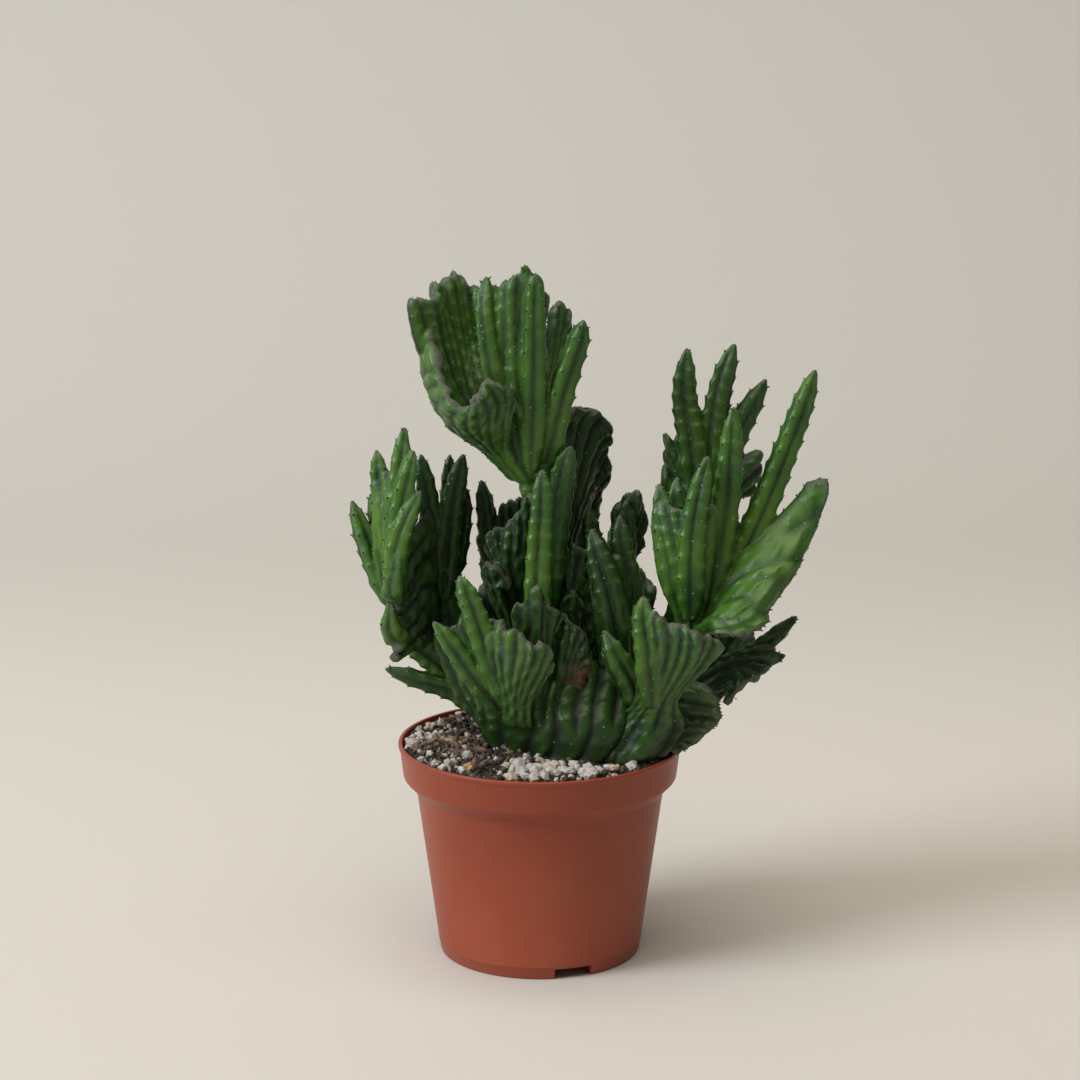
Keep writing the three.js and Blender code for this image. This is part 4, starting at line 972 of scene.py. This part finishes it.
def stemSkin(name, tone):
    # green skin: painted shade in the grooves, greyish bloom near the rims, a scabby brown-grey crest line
    material, nodes, links, surface = newMaterial(name)
    marks = node(nodes, "ShaderNodeAttribute", attribute_name="growth")
    parts = nodes.new("ShaderNodeSeparateColor")
    links.new(marks.outputs["Color"], parts.inputs["Color"])
    ribHeight, crest, tooth = parts.outputs   # the last is negative where a sheet has withered
    nearRim = marks.outputs["Alpha"]      # negative on a fresh rim, which is yellow-green instead of bloomy
    grainy = addGrain(nodes, links, stemLook["mottle"])
    # painted shade: the skin darkens from ridge to groove
    hues = [stemLook[part] for part in ("grooveShade", "flank", "ridge")]
    ramp = colourRamp(nodes, list(zip(stemLook["heights"], hues)))
    links.new(ribHeight, ramp.inputs["Fac"])
    least, added = stemLook["youngShare"]
    youngShare = calculate(nodes, links, "MULTIPLY_ADD", grainy.outputs["Patches"], *stemLook["youngPatch"])
    youngShare = calculate(nodes, links, "MULTIPLY", youngShare, least + added * tone, clamp=True)
    youngShare = calculate(nodes, links, "MULTIPLY", youngShare, ribHeight)
    colour = mixColour(nodes, links, youngShare, ramp.outputs["Color"], stemLook["young"])
    bloomShare = calculate(nodes, links, "MULTIPLY_ADD", grainy.outputs["Specks"], *stemLook["bloomPatch"])
    bloomShare = calculate(nodes, links, "MULTIPLY", bloomShare, nearRim, clamp=True)
    bloomShare = calculate(nodes, links, "MULTIPLY", bloomShare, stemLook["bloomShare"])
    colour = mixColour(nodes, links, bloomShare, colour, stemLook["bloom"])
    # painted shade and light: the stem's colours are darkened for a low tone and brightened above 1
    shade = tuple(1 - (1 - part) * (1 - tone) for part in stemLook["shade"])
    colour = mixColour(nodes, links, 1.0, colour, shade, "MULTIPLY")
    limeShare = calculate(nodes, links, "MULTIPLY", nearRim, -1.0, clamp=True)
    limeShare = calculate(nodes, links, "MULTIPLY", limeShare, ribHeight)
    colour = mixColour(nodes, links, limeShare, colour, stemLook["lime"])
    place = nodes.new("ShaderNodeTexCoord")
    parting = nodes.new("ShaderNodeSeparateXYZ")
    links.new(place.outputs["Object"], parting.inputs["Vector"])
    # darker towards the bottom
    darkerLow = node(nodes, "ShaderNodeMapRange", interpolation_type="SMOOTHSTEP")
    for socket, value in zip(("From Min", "From Max", "To Min", "To Max"), stemLook["darkerLow"]):
        darkerLow.inputs[socket].default_value = value
    links.new(parting.outputs["Z"], darkerLow.inputs["Value"])
    colour = mixColour(nodes, links, darkerLow.outputs["Result"], colour, stemLook["base"], "MULTIPLY")
    speckShare, speckHue = addDots(nodes, links, place, *stemLook["specks"])
    chance = nodes.new("ShaderNodeSeparateColor")
    links.new(speckHue, chance.inputs["Color"])
    chosen = calculate(nodes, links, "GREATER_THAN", chance.outputs[0], stemLook["speckSkip"])
    speckShare = calculate(nodes, links, "MULTIPLY", speckShare, chosen)
    speckShare = calculate(nodes, links, "MULTIPLY", speckShare, stemLook["speckShare"])
    colour = mixColour(nodes, links, speckShare, colour, stemLook["speck"])
    scabShare = calculate(nodes, links, "MULTIPLY_ADD", grainy.outputs["Fine"], *stemLook["scabPatch"])
    scabShare = calculate(nodes, links, "ADD", scabShare, crest)
    scabShare = calculate(nodes, links, "MULTIPLY", scabShare, crest)
    scabShare = calculate(nodes, links, "MULTIPLY", scabShare, stemLook["scabShare"], clamp=True)
    scabColour = mixColour(nodes, links, grainy.outputs["Fine"], stemLook["scab"], stemLook["scabPale"])
    colour = mixColour(nodes, links, scabShare, colour, scabColour)
    toothShare = calculate(nodes, links, "MAXIMUM", tooth, 0.0)
    colour = mixColour(nodes, links, toothShare, colour, stemLook["tooth"])
    deadShare = calculate(nodes, links, "MULTIPLY", tooth, -1.0, clamp=True)
    deadColour = mixColour(nodes, links, grainy.outputs["Fine"], stemLook["dead"], stemLook["deadPale"])
    colour = mixColour(nodes, links, deadShare, colour, deadColour)
    links.new(colour, surface.inputs["Base Color"])
    rough = calculate(nodes, links, "MULTIPLY_ADD", grainy.outputs["Specks"], *stemLook["rough"])
    rough = calculate(nodes, links, "MULTIPLY_ADD", scabShare, stemLook["roughScab"], rough)
    deepShare = calculate(nodes, links, "SUBTRACT", 1.0, ribHeight)
    rough = calculate(nodes, links, "MULTIPLY_ADD", deepShare, stemLook["roughGroove"], rough)
    links.new(rough, surface.inputs["Roughness"])
    surface.inputs["Specular IOR Level"].default_value = stemLook["shine"]
    links.new(addBump(nodes, links, grainy.outputs["Fine"], *stemLook["relief"]), surface.inputs["Normal"])
    return material


stemMaterials = {}
for number, (name, shape) in enumerate(stems.items()):
    stem = growStem(name, shape, 100 + number)
    tone = shape["tone"]
    # one copy of the skin for each tone: lit and shaded copies of one material
    if tone not in stemMaterials:
        stemMaterials[tone] = stemSkin("stemSkin" + str(int(tone * 10)), tone)
    stem.data.materials.append(stemMaterials[tone])
    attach(stem, "root")
    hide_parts(name)
    print("stem", name, len(stem.data.polygons), "faces")

potLow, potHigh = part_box("pot")
pot = {
    "height": potHigh.z,
    "rim": potHigh.x,
    "bead": 0.7 * mm,           # rounded lip round the rim's top edge
    "band": 14 * mm,
    "bandTaper": 1.8 * mm,
    "shoulder": 6.2 * mm,
    "wallTop": 52.4 * mm,
    "foot": 42.6 * mm,
    "wall": 1.2 * mm,
    "floor": 1.5 * mm,
    "channel": 4.5 * mm,
    "boss": 12 * mm,
    "ring": 5 * mm,
    "draft": 1.5 * mm,
    "seamHeight": 5.5 * mm,     # moulding line round the foot
    "notches": 3,
    "notchWidth": 16 * mm,
    "notchHeight": 4.6 * mm,
    "notchAngle": -71,
    "holes": 6,
    "holeRadius": 3 * mm,
    "holeCircle": 25 * mm,
    "sides": 160,
    "smoothAngle": 40,          # degrees; sharper edges stay sharp
}


def roundedCorner(points, radius, steps=5):
    # the outline with each corner that has a radius turned into a short arc
    out = [np.array(points[0], float)]
    for before, here, after, r in zip(points, points[1:], points[2:], radius[1:]):
        before, here, after = (np.array(p, float) for p in (before, here, after))
        if r == 0:
            out.append(here)
            continue
        a, b = here + unit(before - here) * r, here + unit(after - here) * r
        for t in np.linspace(0, 1, steps):
            out.append((1 - t) ** 2 * a + 2 * t * (1 - t) * here + t**2 * b)
    out.append(np.array(points[-1], float))
    return out


def makePot():
    p = pot
    bandFoot = p["height"] - p["band"]
    wallTop = bandFoot - p["shoulder"]
    bandRadius = p["rim"] - p["bandTaper"]
    floor = p["channel"] + p["floor"]
    slope = (p["wallTop"] - p["foot"]) / wallTop
    seam = p["foot"] + slope * p["seamHeight"]
    ringIn = p["foot"] - p["ring"]
    outline = [
        (0, 0, 0), (p["boss"], 0, 0.5), (p["boss"] + p["draft"], p["channel"], 0.5),
        (ringIn - p["draft"], p["channel"], 0.5), (ringIn, 0, 0.4), (p["foot"] - 0.2 * mm, 0, 0.9),
        (seam, p["seamHeight"] - 0.25 * mm, 0), (seam + 0.18 * mm, p["seamHeight"], 0),
        (seam + 0.05 * mm, p["seamHeight"] + 0.3 * mm, 0),
        (p["wallTop"], wallTop, 0.7), (bandRadius - 0.3 * mm, bandFoot - 0.4 * mm, 0.8),
        (p["rim"] - p["bead"], p["height"] - 2.6 * mm, 0.4), (p["rim"], p["height"] - 1.7 * mm, 0.6),
        (p["rim"], p["height"], 0.7), (p["rim"] - p["wall"] - 0.4 * mm, p["height"], 0.5),
        (bandRadius - p["wall"], bandFoot, 0), (p["wallTop"] - p["wall"], wallTop, 0),
        (p["foot"] + slope * floor - p["wall"], floor, 0), (0, floor, 0),
    ]
    smooth = roundedCorner([(r, z) for r, z, c in outline], [c * mm for r, z, c in outline])
    edges = [(i, i + 1) for i in range(len(smooth) - 1)]
    shell = newPiece("pot_shell", [(r, 0, z) for r, z in smooth], edges, [])
    pick(shell)
    bpy.ops.object.mode_set(mode="EDIT")
    bpy.ops.mesh.select_all(action="SELECT")
    bpy.ops.mesh.spin(steps=p["sides"], angle=math.tau, center=(0, 0, 0), axis=(0, 0, 1))
    bpy.ops.object.mode_set(mode="OBJECT")
    weld(shell)
    cutters = []
    for i in range(p["notches"]):
        turn = math.radians(p["notchAngle"] + 360 / p["notches"] * i)
        out = p["foot"] - p["ring"] / 2
        bpy.ops.mesh.primitive_cube_add(location=(out * math.cos(turn), out * math.sin(turn), 0),
                                        rotation=(0, 0, turn),
                                        scale=(p["ring"], p["notchWidth"] / 2, p["notchHeight"]))
        cutters.append(bpy.context.object)
    for i in range(p["holes"]):
        turn = math.tau * i / p["holes"]
        spot = (p["holeCircle"] * math.cos(turn), p["holeCircle"] * math.sin(turn), floor)
        bpy.ops.mesh.primitive_cylinder_add(vertices=32, radius=p["holeRadius"], depth=4 * p["floor"],
                                            location=spot)
        cutters.append(bpy.context.object)
    for number, cutter in enumerate(cutters):
        applyModifier(shell, "cut" + str(number), "BOOLEAN", operation="DIFFERENCE", object=cutter,
                      solver="EXACT")
        bpy.data.objects.remove(cutter)
    pick(shell)
    bpy.ops.object.shade_smooth_by_angle(angle=math.radians(p["smoothAngle"]))
    return shell


potLook = {
    "base": (0.290, 0.056, 0.024),
    "faded": (0.345, 0.082, 0.042),
    "dark": (0.225, 0.039, 0.017),
    "scuff": (0.620, 0.520, 0.450),
    "mottle": 9,                       # how fine the mottling is
    "heights": (0.25, 0.5, 0.8),       # where in the mottling dark, base and faded have their own colour
    "scratches": (140, 140, 900),      # how fine they are along each axis: they run round the pot
    "scratchDetail": 3,
    "specks": (85, 0.035, 0.055),      # chalky specks: how fine, and the two radii between which they fade
    "speckPatch": 0.56,                # they lie only where the mottling is above this
    "rough": (0.2, 0.30),              # what the scratches add, and the least
    "shine": 0.35,
    "relief": (0.12, 0.0002),          # share and depth of the scratches' bump
}


def potPlastic():
    # satin moulded plastic: slightly mottled, with fine scratches and a few chalky specks
    material, nodes, links, surface = newMaterial("potPlastic")
    grainy = addGrain(nodes, links, potLook["mottle"])
    hues = [potLook[part] for part in ("dark", "base", "faded")]
    ramp = colourRamp(nodes, list(zip(potLook["heights"], hues)))
    links.new(grainy.outputs["Patches"], ramp.inputs["Fac"])
    place = nodes.new("ShaderNodeTexCoord")
    stretched = nodes.new("ShaderNodeMapping")
    stretched.inputs["Scale"].default_value = potLook["scratches"]
    links.new(place.outputs["Object"], stretched.inputs["Vector"])
    scratch = nodes.new("ShaderNodeTexNoise")
    scratch.inputs["Scale"].default_value = 1
    scratch.inputs["Detail"].default_value = potLook["scratchDetail"]
    links.new(stretched.outputs["Vector"], scratch.inputs["Vector"])
    chalk, anyHue = addDots(nodes, links, place, *potLook["specks"])
    worn = calculate(nodes, links, "GREATER_THAN", grainy.outputs["Specks"], potLook["speckPatch"])
    chalkShare = calculate(nodes, links, "MULTIPLY", chalk, worn)
    colour = mixColour(nodes, links, chalkShare, ramp.outputs["Color"], potLook["scuff"])
    links.new(colour, surface.inputs["Base Color"])
    rough = calculate(nodes, links, "MULTIPLY_ADD", scratch.outputs["Fac"], *potLook["rough"])
    links.new(rough, surface.inputs["Roughness"])
    surface.inputs["Specular IOR Level"].default_value = potLook["shine"]
    links.new(addBump(nodes, links, scratch.outputs["Fac"], *potLook["relief"]), surface.inputs["Normal"])
    return material


potShell = makePot()
potShell.data.materials.append(potPlastic())
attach(potShell, "root")
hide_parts("pot")
print("pot", len(potShell.data.polygons), "faces")

mix = {
    "edge": 57.2,          # radius at the rim, millimetres like the rest here
    "edgeHeight": 89.9,
    "mound": 4.2,
    "moundTop": 8,         # the mound falls off between these two radii
    "moundFoot": 60,
    "waves": ((31, 0.7), (17, 0.5), (9, 0.4), (5.3, 0.3), (3.1, 0.2)),   # lengths and heights
    "waveShare": 0.6,
    "under": ((56.2, 78), (50.6, 70)),   # radius and height where it follows the pot's shoulder
    "floorRadius": 41.5,
    "looseRadius": 56.3,   # loose pieces lie inside this
    "rings": 90,
    "sides": 300,
    "crumbs": 2600,
    "chips": 70,
    "fibres": 420,
    "perlite": 420,
    "lumps": 30,
}


def moundHeight(x, y):
    r = np.hypot(x, y)
    rise = mix["mound"] * (1 - ease(mix["moundTop"], mix["moundFoot"], r))
    return mix["edgeHeight"] + rise + wavy(x, y)


def wavy(x, y):
    total = 0
    for i, (length, high) in enumerate(mix["waves"]):
        a = 1.3 + 2.1 * i
        total = total + high * np.sin((x * math.cos(a) + y * math.sin(a)) * math.tau / length + 2.7 * i)
        total = total + high * np.sin((y * math.cos(a) - x * math.sin(a)) * math.tau / length + 1.9 * i)
    return total * mix["waveShare"]


def makeMound():
    low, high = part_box("soil")
    floor = low.z / mm
    under = (*mix["under"], (mix["floorRadius"], floor), (0, floor))
    bpy.ops.mesh.primitive_grid_add(x_subdivisions=mix["sides"], y_subdivisions=mix["rings"] + len(under))
    mound = bpy.context.object
    mound.name = "potting_mix"
    turn = np.linspace(0, math.tau, mix["sides"] + 1)[None, :]
    radius = np.linspace(0, mix["edge"], mix["rings"] + 1)[:, None]
    x, y = radius * np.cos(turn), radius * np.sin(turn)
    rows = [np.stack([x, y, moundHeight(x, y)], axis=2)]
    for r, z in under:
        ring = np.stack([r * np.cos(turn), r * np.sin(turn), np.full_like(turn, z)], axis=2)
        rows.append(ring)
    points = np.concatenate(rows)
    mound.data.vertices.foreach_set("co", (points.reshape(-1) * mm).astype(np.float32))
    weld(mound)
    bpy.ops.object.shade_smooth()
    return mound


def lumpTemplate(detail, roughness, draw):
    bpy.ops.mesh.primitive_ico_sphere_add(subdivisions=detail, radius=0.5, location=(0, 0, 0))
    points, faces = takeShape(bpy.context.object)
    points *= 1 + draw.uniform(-roughness, roughness, (len(points), 1))
    points += draw.uniform(-roughness, roughness, points.shape) * 0.15
    return points, faces


def unevenLumps(count, roughness):
    # angular lumps, each stretched by itself
    lumps = []
    for _ in range(count):
        points, faces = lumpTemplate(1, roughness, draw)
        lumps.append((points * draw.uniform(0.75, 1.2, 3), faces))
    return lumps


def scatter(name, templates, places, sizes, draw, sink=0.25):
    # one mesh of copies of a few lumps, each turned and sized by itself
    points, faces = [], []
    for (x, y), size in zip(places, sizes):
        shape, polygons = templates[draw.integers(len(templates))]
        turn = np.linalg.qr(draw.normal(size=(3, 3)))[0]
        if np.linalg.det(turn) < 0:
            turn[:, 0] *= -1
        corners = (shape * size) @ turn.T
        lift = moundHeight(x, y) - corners[:, 2].min() - sink * np.ptp(corners[:, 2])
        start = sum(len(p) for p in points)
        points.append(corners + [x, y, lift])
        faces += [[start + i for i in face] for face in polygons]
    lumps = newPiece(name, (np.concatenate(points) * mm).tolist(), [], faces)
    addTint(lumps, np.repeat(draw.uniform(size=len(points)), [len(p) for p in points]))
    return lumps


def mixPlaces(count, draw, heap=()):
    # places on the soil: most spread evenly, some heaped round the given (x, y, spread, share) spots
    spots = []
    while len(spots) < count:
        chosen = draw.uniform()
        for x, y, spread, share in heap:
            if chosen < share:
                spot = draw.normal((x, y), spread)
                break
            chosen -= share
        else:
            turn, r = draw.uniform(0, math.tau), math.sqrt(draw.uniform()) * mix["looseRadius"]
            spot = np.array([r * math.cos(turn), r * math.sin(turn)])
        if np.hypot(*spot) < mix["looseRadius"]:
            spots.append(spot)
    return np.array(spots)


mixLook = {
    "soil": (0.016, 0.011, 0.009),
    "soilPale": (0.050, 0.036, 0.028),
    "bark": (0.095, 0.048, 0.026),
    "barkPale": (0.210, 0.130, 0.080),
    "perlite": (0.640, 0.615, 0.580),
    "perliteGrey": (0.300, 0.280, 0.260),
    "crumb": (0.200, 0.160, 0.130),
    "straw": (0.380, 0.300, 0.215),
    "cream": (0.500, 0.385, 0.300),
    "stone": (0.330, 0.170, 0.070),
    "stonePale": (0.520, 0.330, 0.170),
}


def looseStuff(name, dark, pale, scale, rough, relief, other=None, often=0.5):
    # dull mottled stuff with a coarse grainy surface; the pieces with a high tint are of another colour
    material, nodes, links, surface = newMaterial(name)
    grainy = addGrain(nodes, links, scale)
    ramp = colourRamp(nodes, [(0.3, mixLook[dark]), (0.7, mixLook[pale])])
    blend = calculate(nodes, links, "MULTIPLY", grainy.outputs["Specks"], 0.4)
    blend = calculate(nodes, links, "MULTIPLY_ADD", grainy.outputs["Patches"], 0.6, blend)
    links.new(blend, ramp.inputs["Fac"])
    colour = ramp.outputs["Color"]
    if other:
        tint = node(nodes, "ShaderNodeAttribute", attribute_name="tint")
        share = nodes.new("ShaderNodeMapRange")
        share.inputs["From Min"].default_value = 1 - often
        links.new(tint.outputs["Fac"], share.inputs["Value"])
        colour = mixColour(nodes, links, share.outputs["Result"], colour, mixLook[other])
    links.new(colour, surface.inputs["Base Color"])
    rough = calculate(nodes, links, "MULTIPLY_ADD", grainy.outputs["Fine"], 0.1, rough)
    links.new(rough, surface.inputs["Roughness"])
    links.new(addBump(nodes, links, grainy.outputs["Fine"], 0.8, relief), surface.inputs["Normal"])
    return material


peat = looseStuff("peat", "soil", "soilPale", 160, 0.85, 0.0006, "crumb", 0.6)
barkStuff = looseStuff("bark", "bark", "barkPale", 120, 0.8, 0.0004, "straw", 0.7)
perliteStuff = looseStuff("perlite", "perliteGrey", "perlite", 190, 0.85, 0.0003, "cream", 0.4)
stoneStuff = looseStuff("gravel", "stone", "stonePale", 120, 0.55, 0.0002)


def finishMix(obj, material, smooth=True):
    obj.data.materials.append(material)
    pick(obj)
    if smooth:
        bpy.ops.object.shade_smooth()
    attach(obj, "root")


draw = np.random.default_rng(7)
mound = makeMound()
finishMix(mound, peat)
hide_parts("soil")
roundLumps = [lumpTemplate(1, 0.22, draw) for _ in range(6)]
gritLumps = unevenLumps(9, 0.3)
chipLumps = [lumpTemplate(1, 0.25, draw) for _ in range(5)]
chipLumps = [(points * [1.9, 0.8, 0.35], faces) for points, faces in chipLumps]
crumbs = scatter("peat_crumbs", roundLumps, mixPlaces(mix["crumbs"], draw),
                 0.7 + 2.6 * draw.uniform(size=mix["crumbs"]) ** 2.5, draw)
finishMix(crumbs, peat)
chips = scatter("bark_bits", chipLumps, mixPlaces(mix["chips"], draw, [(-40, -8, 7, 0.3)]),
                draw.uniform(2, 5, mix["chips"]), draw, 0.1)
finishMix(chips, barkStuff)
heaps = [(-2, -43, 9, 0.18), (18, -48, 8, 0.14), (-50, 8, 7, 0.16), (-38, -26, 9, 0.1)]
grit = scatter("perlite_grit", gritLumps, mixPlaces(mix["perlite"], draw, heaps),
               1.0 + 3.6 * draw.uniform(size=mix["perlite"]) ** 2.4, draw, 0.2)
finishMix(grit, perliteStuff, smooth=False)
largeLumps = unevenLumps(9, 0.26)
lumpHeaps = [(-3, -42, 6, 0.4), (18, -47, 6, 0.3), (-46, 2, 7, 0.1), (38, -36, 6, 0.1)]
large = scatter("perlite_lumps", largeLumps, mixPlaces(mix["lumps"], draw, lumpHeaps),
                draw.uniform(4.0, 7.0, mix["lumps"]), draw, 0.2)
finishMix(large, perliteStuff, smooth=False)


def makeFibres():
    # thin curled peat fibres, each a three-sided tube
    joints = 5
    points, faces = [], []
    for x, y in mixPlaces(mix["fibres"], draw, [(-38, -8, 9, 0.4)]):
        length, width = draw.uniform(3, 11), draw.uniform(0.12, 0.28)
        turn, bend = draw.uniform(0, math.tau), draw.uniform(-0.9, 0.9)
        lift = draw.uniform(0.2, 2.0)
        start = len(points)
        for k in range(joints + 1):
            s = k / joints
            a = turn + bend * s
            midX = x + math.cos(a) * length * (s - 0.5)
            midY = y + math.sin(a) * length * (s - 0.5)
            midZ = moundHeight(midX, midY) + 0.2 + lift * math.sin(math.pi * s)
            wide = width * (1 - 0.5 * s)
            for j in range(3):
                b = math.tau * j / 3
                points.append((midX - math.sin(a) * math.cos(b) * wide,
                               midY + math.cos(a) * math.cos(b) * wide, midZ + math.sin(b) * wide))
        for k in range(joints):
            for j in range(3):
                p, q = start + 3 * k + j, start + 3 * k + (j + 1) % 3
                faces.append((p, q, q + 3, p + 3))
        end = start + 3 * joints
        faces.append((start + 2, start + 1, start))
        faces.append((end, end + 1, end + 2))
    fibres = newPiece("peat_fibres", (np.array(points) * mm).tolist(), [], faces)
    addTint(fibres, np.repeat(draw.uniform(size=mix["fibres"]), len(points) // mix["fibres"]))
    return fibres


finishMix(makeFibres(), barkStuff)


def bigGrain(name, material):
    # a single larger grain in the place of its CAD solid
    low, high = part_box(name)
    middle, size = (low + high) / 2, high - low
    bpy.ops.mesh.primitive_ico_sphere_add(subdivisions=4, radius=0.5, location=(0, 0, 0))
    stone = bpy.context.object
    stone.name = name + "_shaped"
    points = np.array([v.co for v in stone.data.vertices])
    lumpy = np.zeros(len(points))
    for _ in range(14):
        way = unit(draw.normal(size=3))
        lumpy += 0.05 * np.sin(points @ way * draw.uniform(4, 16) + draw.uniform(0, math.tau))
    points *= (1 + lumpy)[:, None]
    deep = max(size.x, size.y) * 0.75
    spread = np.array([size.x * 1.02, size.y * 1.02, deep])
    centre = np.array([middle.x, middle.y, high.z - deep * 0.47])
    stone.data.vertices.foreach_set("co", (points * spread + centre).reshape(-1).astype(np.float32))
    addTint(stone, np.full(len(points), draw.uniform()))
    finishMix(stone, material)
    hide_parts(name)


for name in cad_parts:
    if name.startswith("perlite"):
        bigGrain(name, perliteStuff)
bigGrain("gravel", stoneStuff)
bigGrain("bark_chip", barkStuff)
print("potting mix done")

stageSet = {
    "paper": (0.580, 0.555, 0.518),
    "paperPale": (0.600, 0.575, 0.540),
    "paperWall": (0.530, 0.518, 0.485),
    "fade": (0.25, 0.75),   # between these Y the floor's colour becomes the wall's
    "halfWidth": 2.5,
    "front": -1.6,
    "bend": 0.75,        # where the floor starts to curve up into the backdrop
    "bendRadius": 0.6,
    "bendSteps": 12,
    "mottle": 2,
    "rough": 0.9,
    "top": 2.4,
}


def makeStage():
    s = stageSet
    outline = [(s["front"], 0), (s["bend"], 0)]
    for k in range(1, s["bendSteps"] + 1):
        turn = math.pi / 2 * k / s["bendSteps"]
        outline.append((s["bend"] + s["bendRadius"] * math.sin(turn), s["bendRadius"] * (1 - math.cos(turn))))
    outline.append((s["bend"] + s["bendRadius"], s["top"]))
    bpy.ops.mesh.primitive_grid_add(x_subdivisions=1, y_subdivisions=len(outline) - 1)
    paper = bpy.context.object
    paper.name = "paper_backdrop"
    points = [(side * s["halfWidth"], y, z) for y, z in outline for side in (-1, 1)]
    paper.data.vertices.foreach_set("co", np.array(points, np.float32).reshape(-1))
    bpy.ops.object.shade_smooth()
    material, nodes, links, surface = newMaterial("paper")
    grainy = addGrain(nodes, links, s["mottle"])
    floorColour = mixColour(nodes, links, grainy.outputs["Patches"], s["paper"], s["paperPale"])
    place = nodes.new("ShaderNodeTexCoord")
    height = nodes.new("ShaderNodeSeparateXYZ")
    links.new(place.outputs["Object"], height.inputs["Vector"])
    upright = node(nodes, "ShaderNodeMapRange", interpolation_type="SMOOTHSTEP")
    upright.inputs["From Min"].default_value, upright.inputs["From Max"].default_value = s["fade"]
    links.new(height.outputs["Y"], upright.inputs["Value"])
    colour = mixColour(nodes, links, upright.outputs["Result"], floorColour, s["paperWall"])
    links.new(colour, surface.inputs["Base Color"])
    surface.inputs["Roughness"].default_value = s["rough"]
    paper.data.materials.append(material)


makeStage()

lamps = {
    "window": {"at": (-3.0, -1.4, 2.1), "size": 1.7, "power": 108, "colour": (0.95, 0.99, 1.07)},
    "ceiling": {"at": (-0.2, -0.4, 2.3), "size": 2.4, "power": 46, "colour": (1.0, 0.92, 0.78)},
}
room = {
    "colour": (1.0, 0.95, 0.86),
    "strength": 0.14,
    "lampAim": (0, 0, 0.14),   # the lamps point at the middle of the plant
}
for name, lamp in lamps.items():
    light = bpy.data.lights.new(name, "AREA")
    light.size = lamp["size"]
    light.energy = lamp["power"]
    light.color = lamp["colour"]
    holder = bpy.data.objects.new(name, light)
    holder.location = lamp["at"]
    aim = Vector(room["lampAim"]) - holder.location
    holder.rotation_euler = aim.to_track_quat("-Z", "Y").to_euler()
    bpy.context.collection.objects.link(holder)
world = bpy.data.worlds.new("room")
world.use_nodes = True
glow = world.node_tree.nodes["Background"]
glow.inputs["Color"].default_value = (*room["colour"], 1)
glow.inputs["Strength"].default_value = room["strength"]
bpy.context.scene.world = world
bpy.context.scene.view_settings.view_transform = "Standard"

sight = {
    "from": (0, -1.353, 0.5),
    "tilt": 76.64,   # degrees up from looking straight down
    "lens": 111,
    "sensor": 36,
}
view = bpy.data.cameras.new("view")
view.lens = sight["lens"]
view.sensor_width = sight["sensor"]
camera = bpy.data.objects.new("view", view)
camera.location = sight["from"]
camera.rotation_euler = (math.radians(sight["tilt"]), 0, 0)
bpy.context.collection.objects.link(camera)
bpy.context.scene.camera = camera
print("stage, light and camera done")
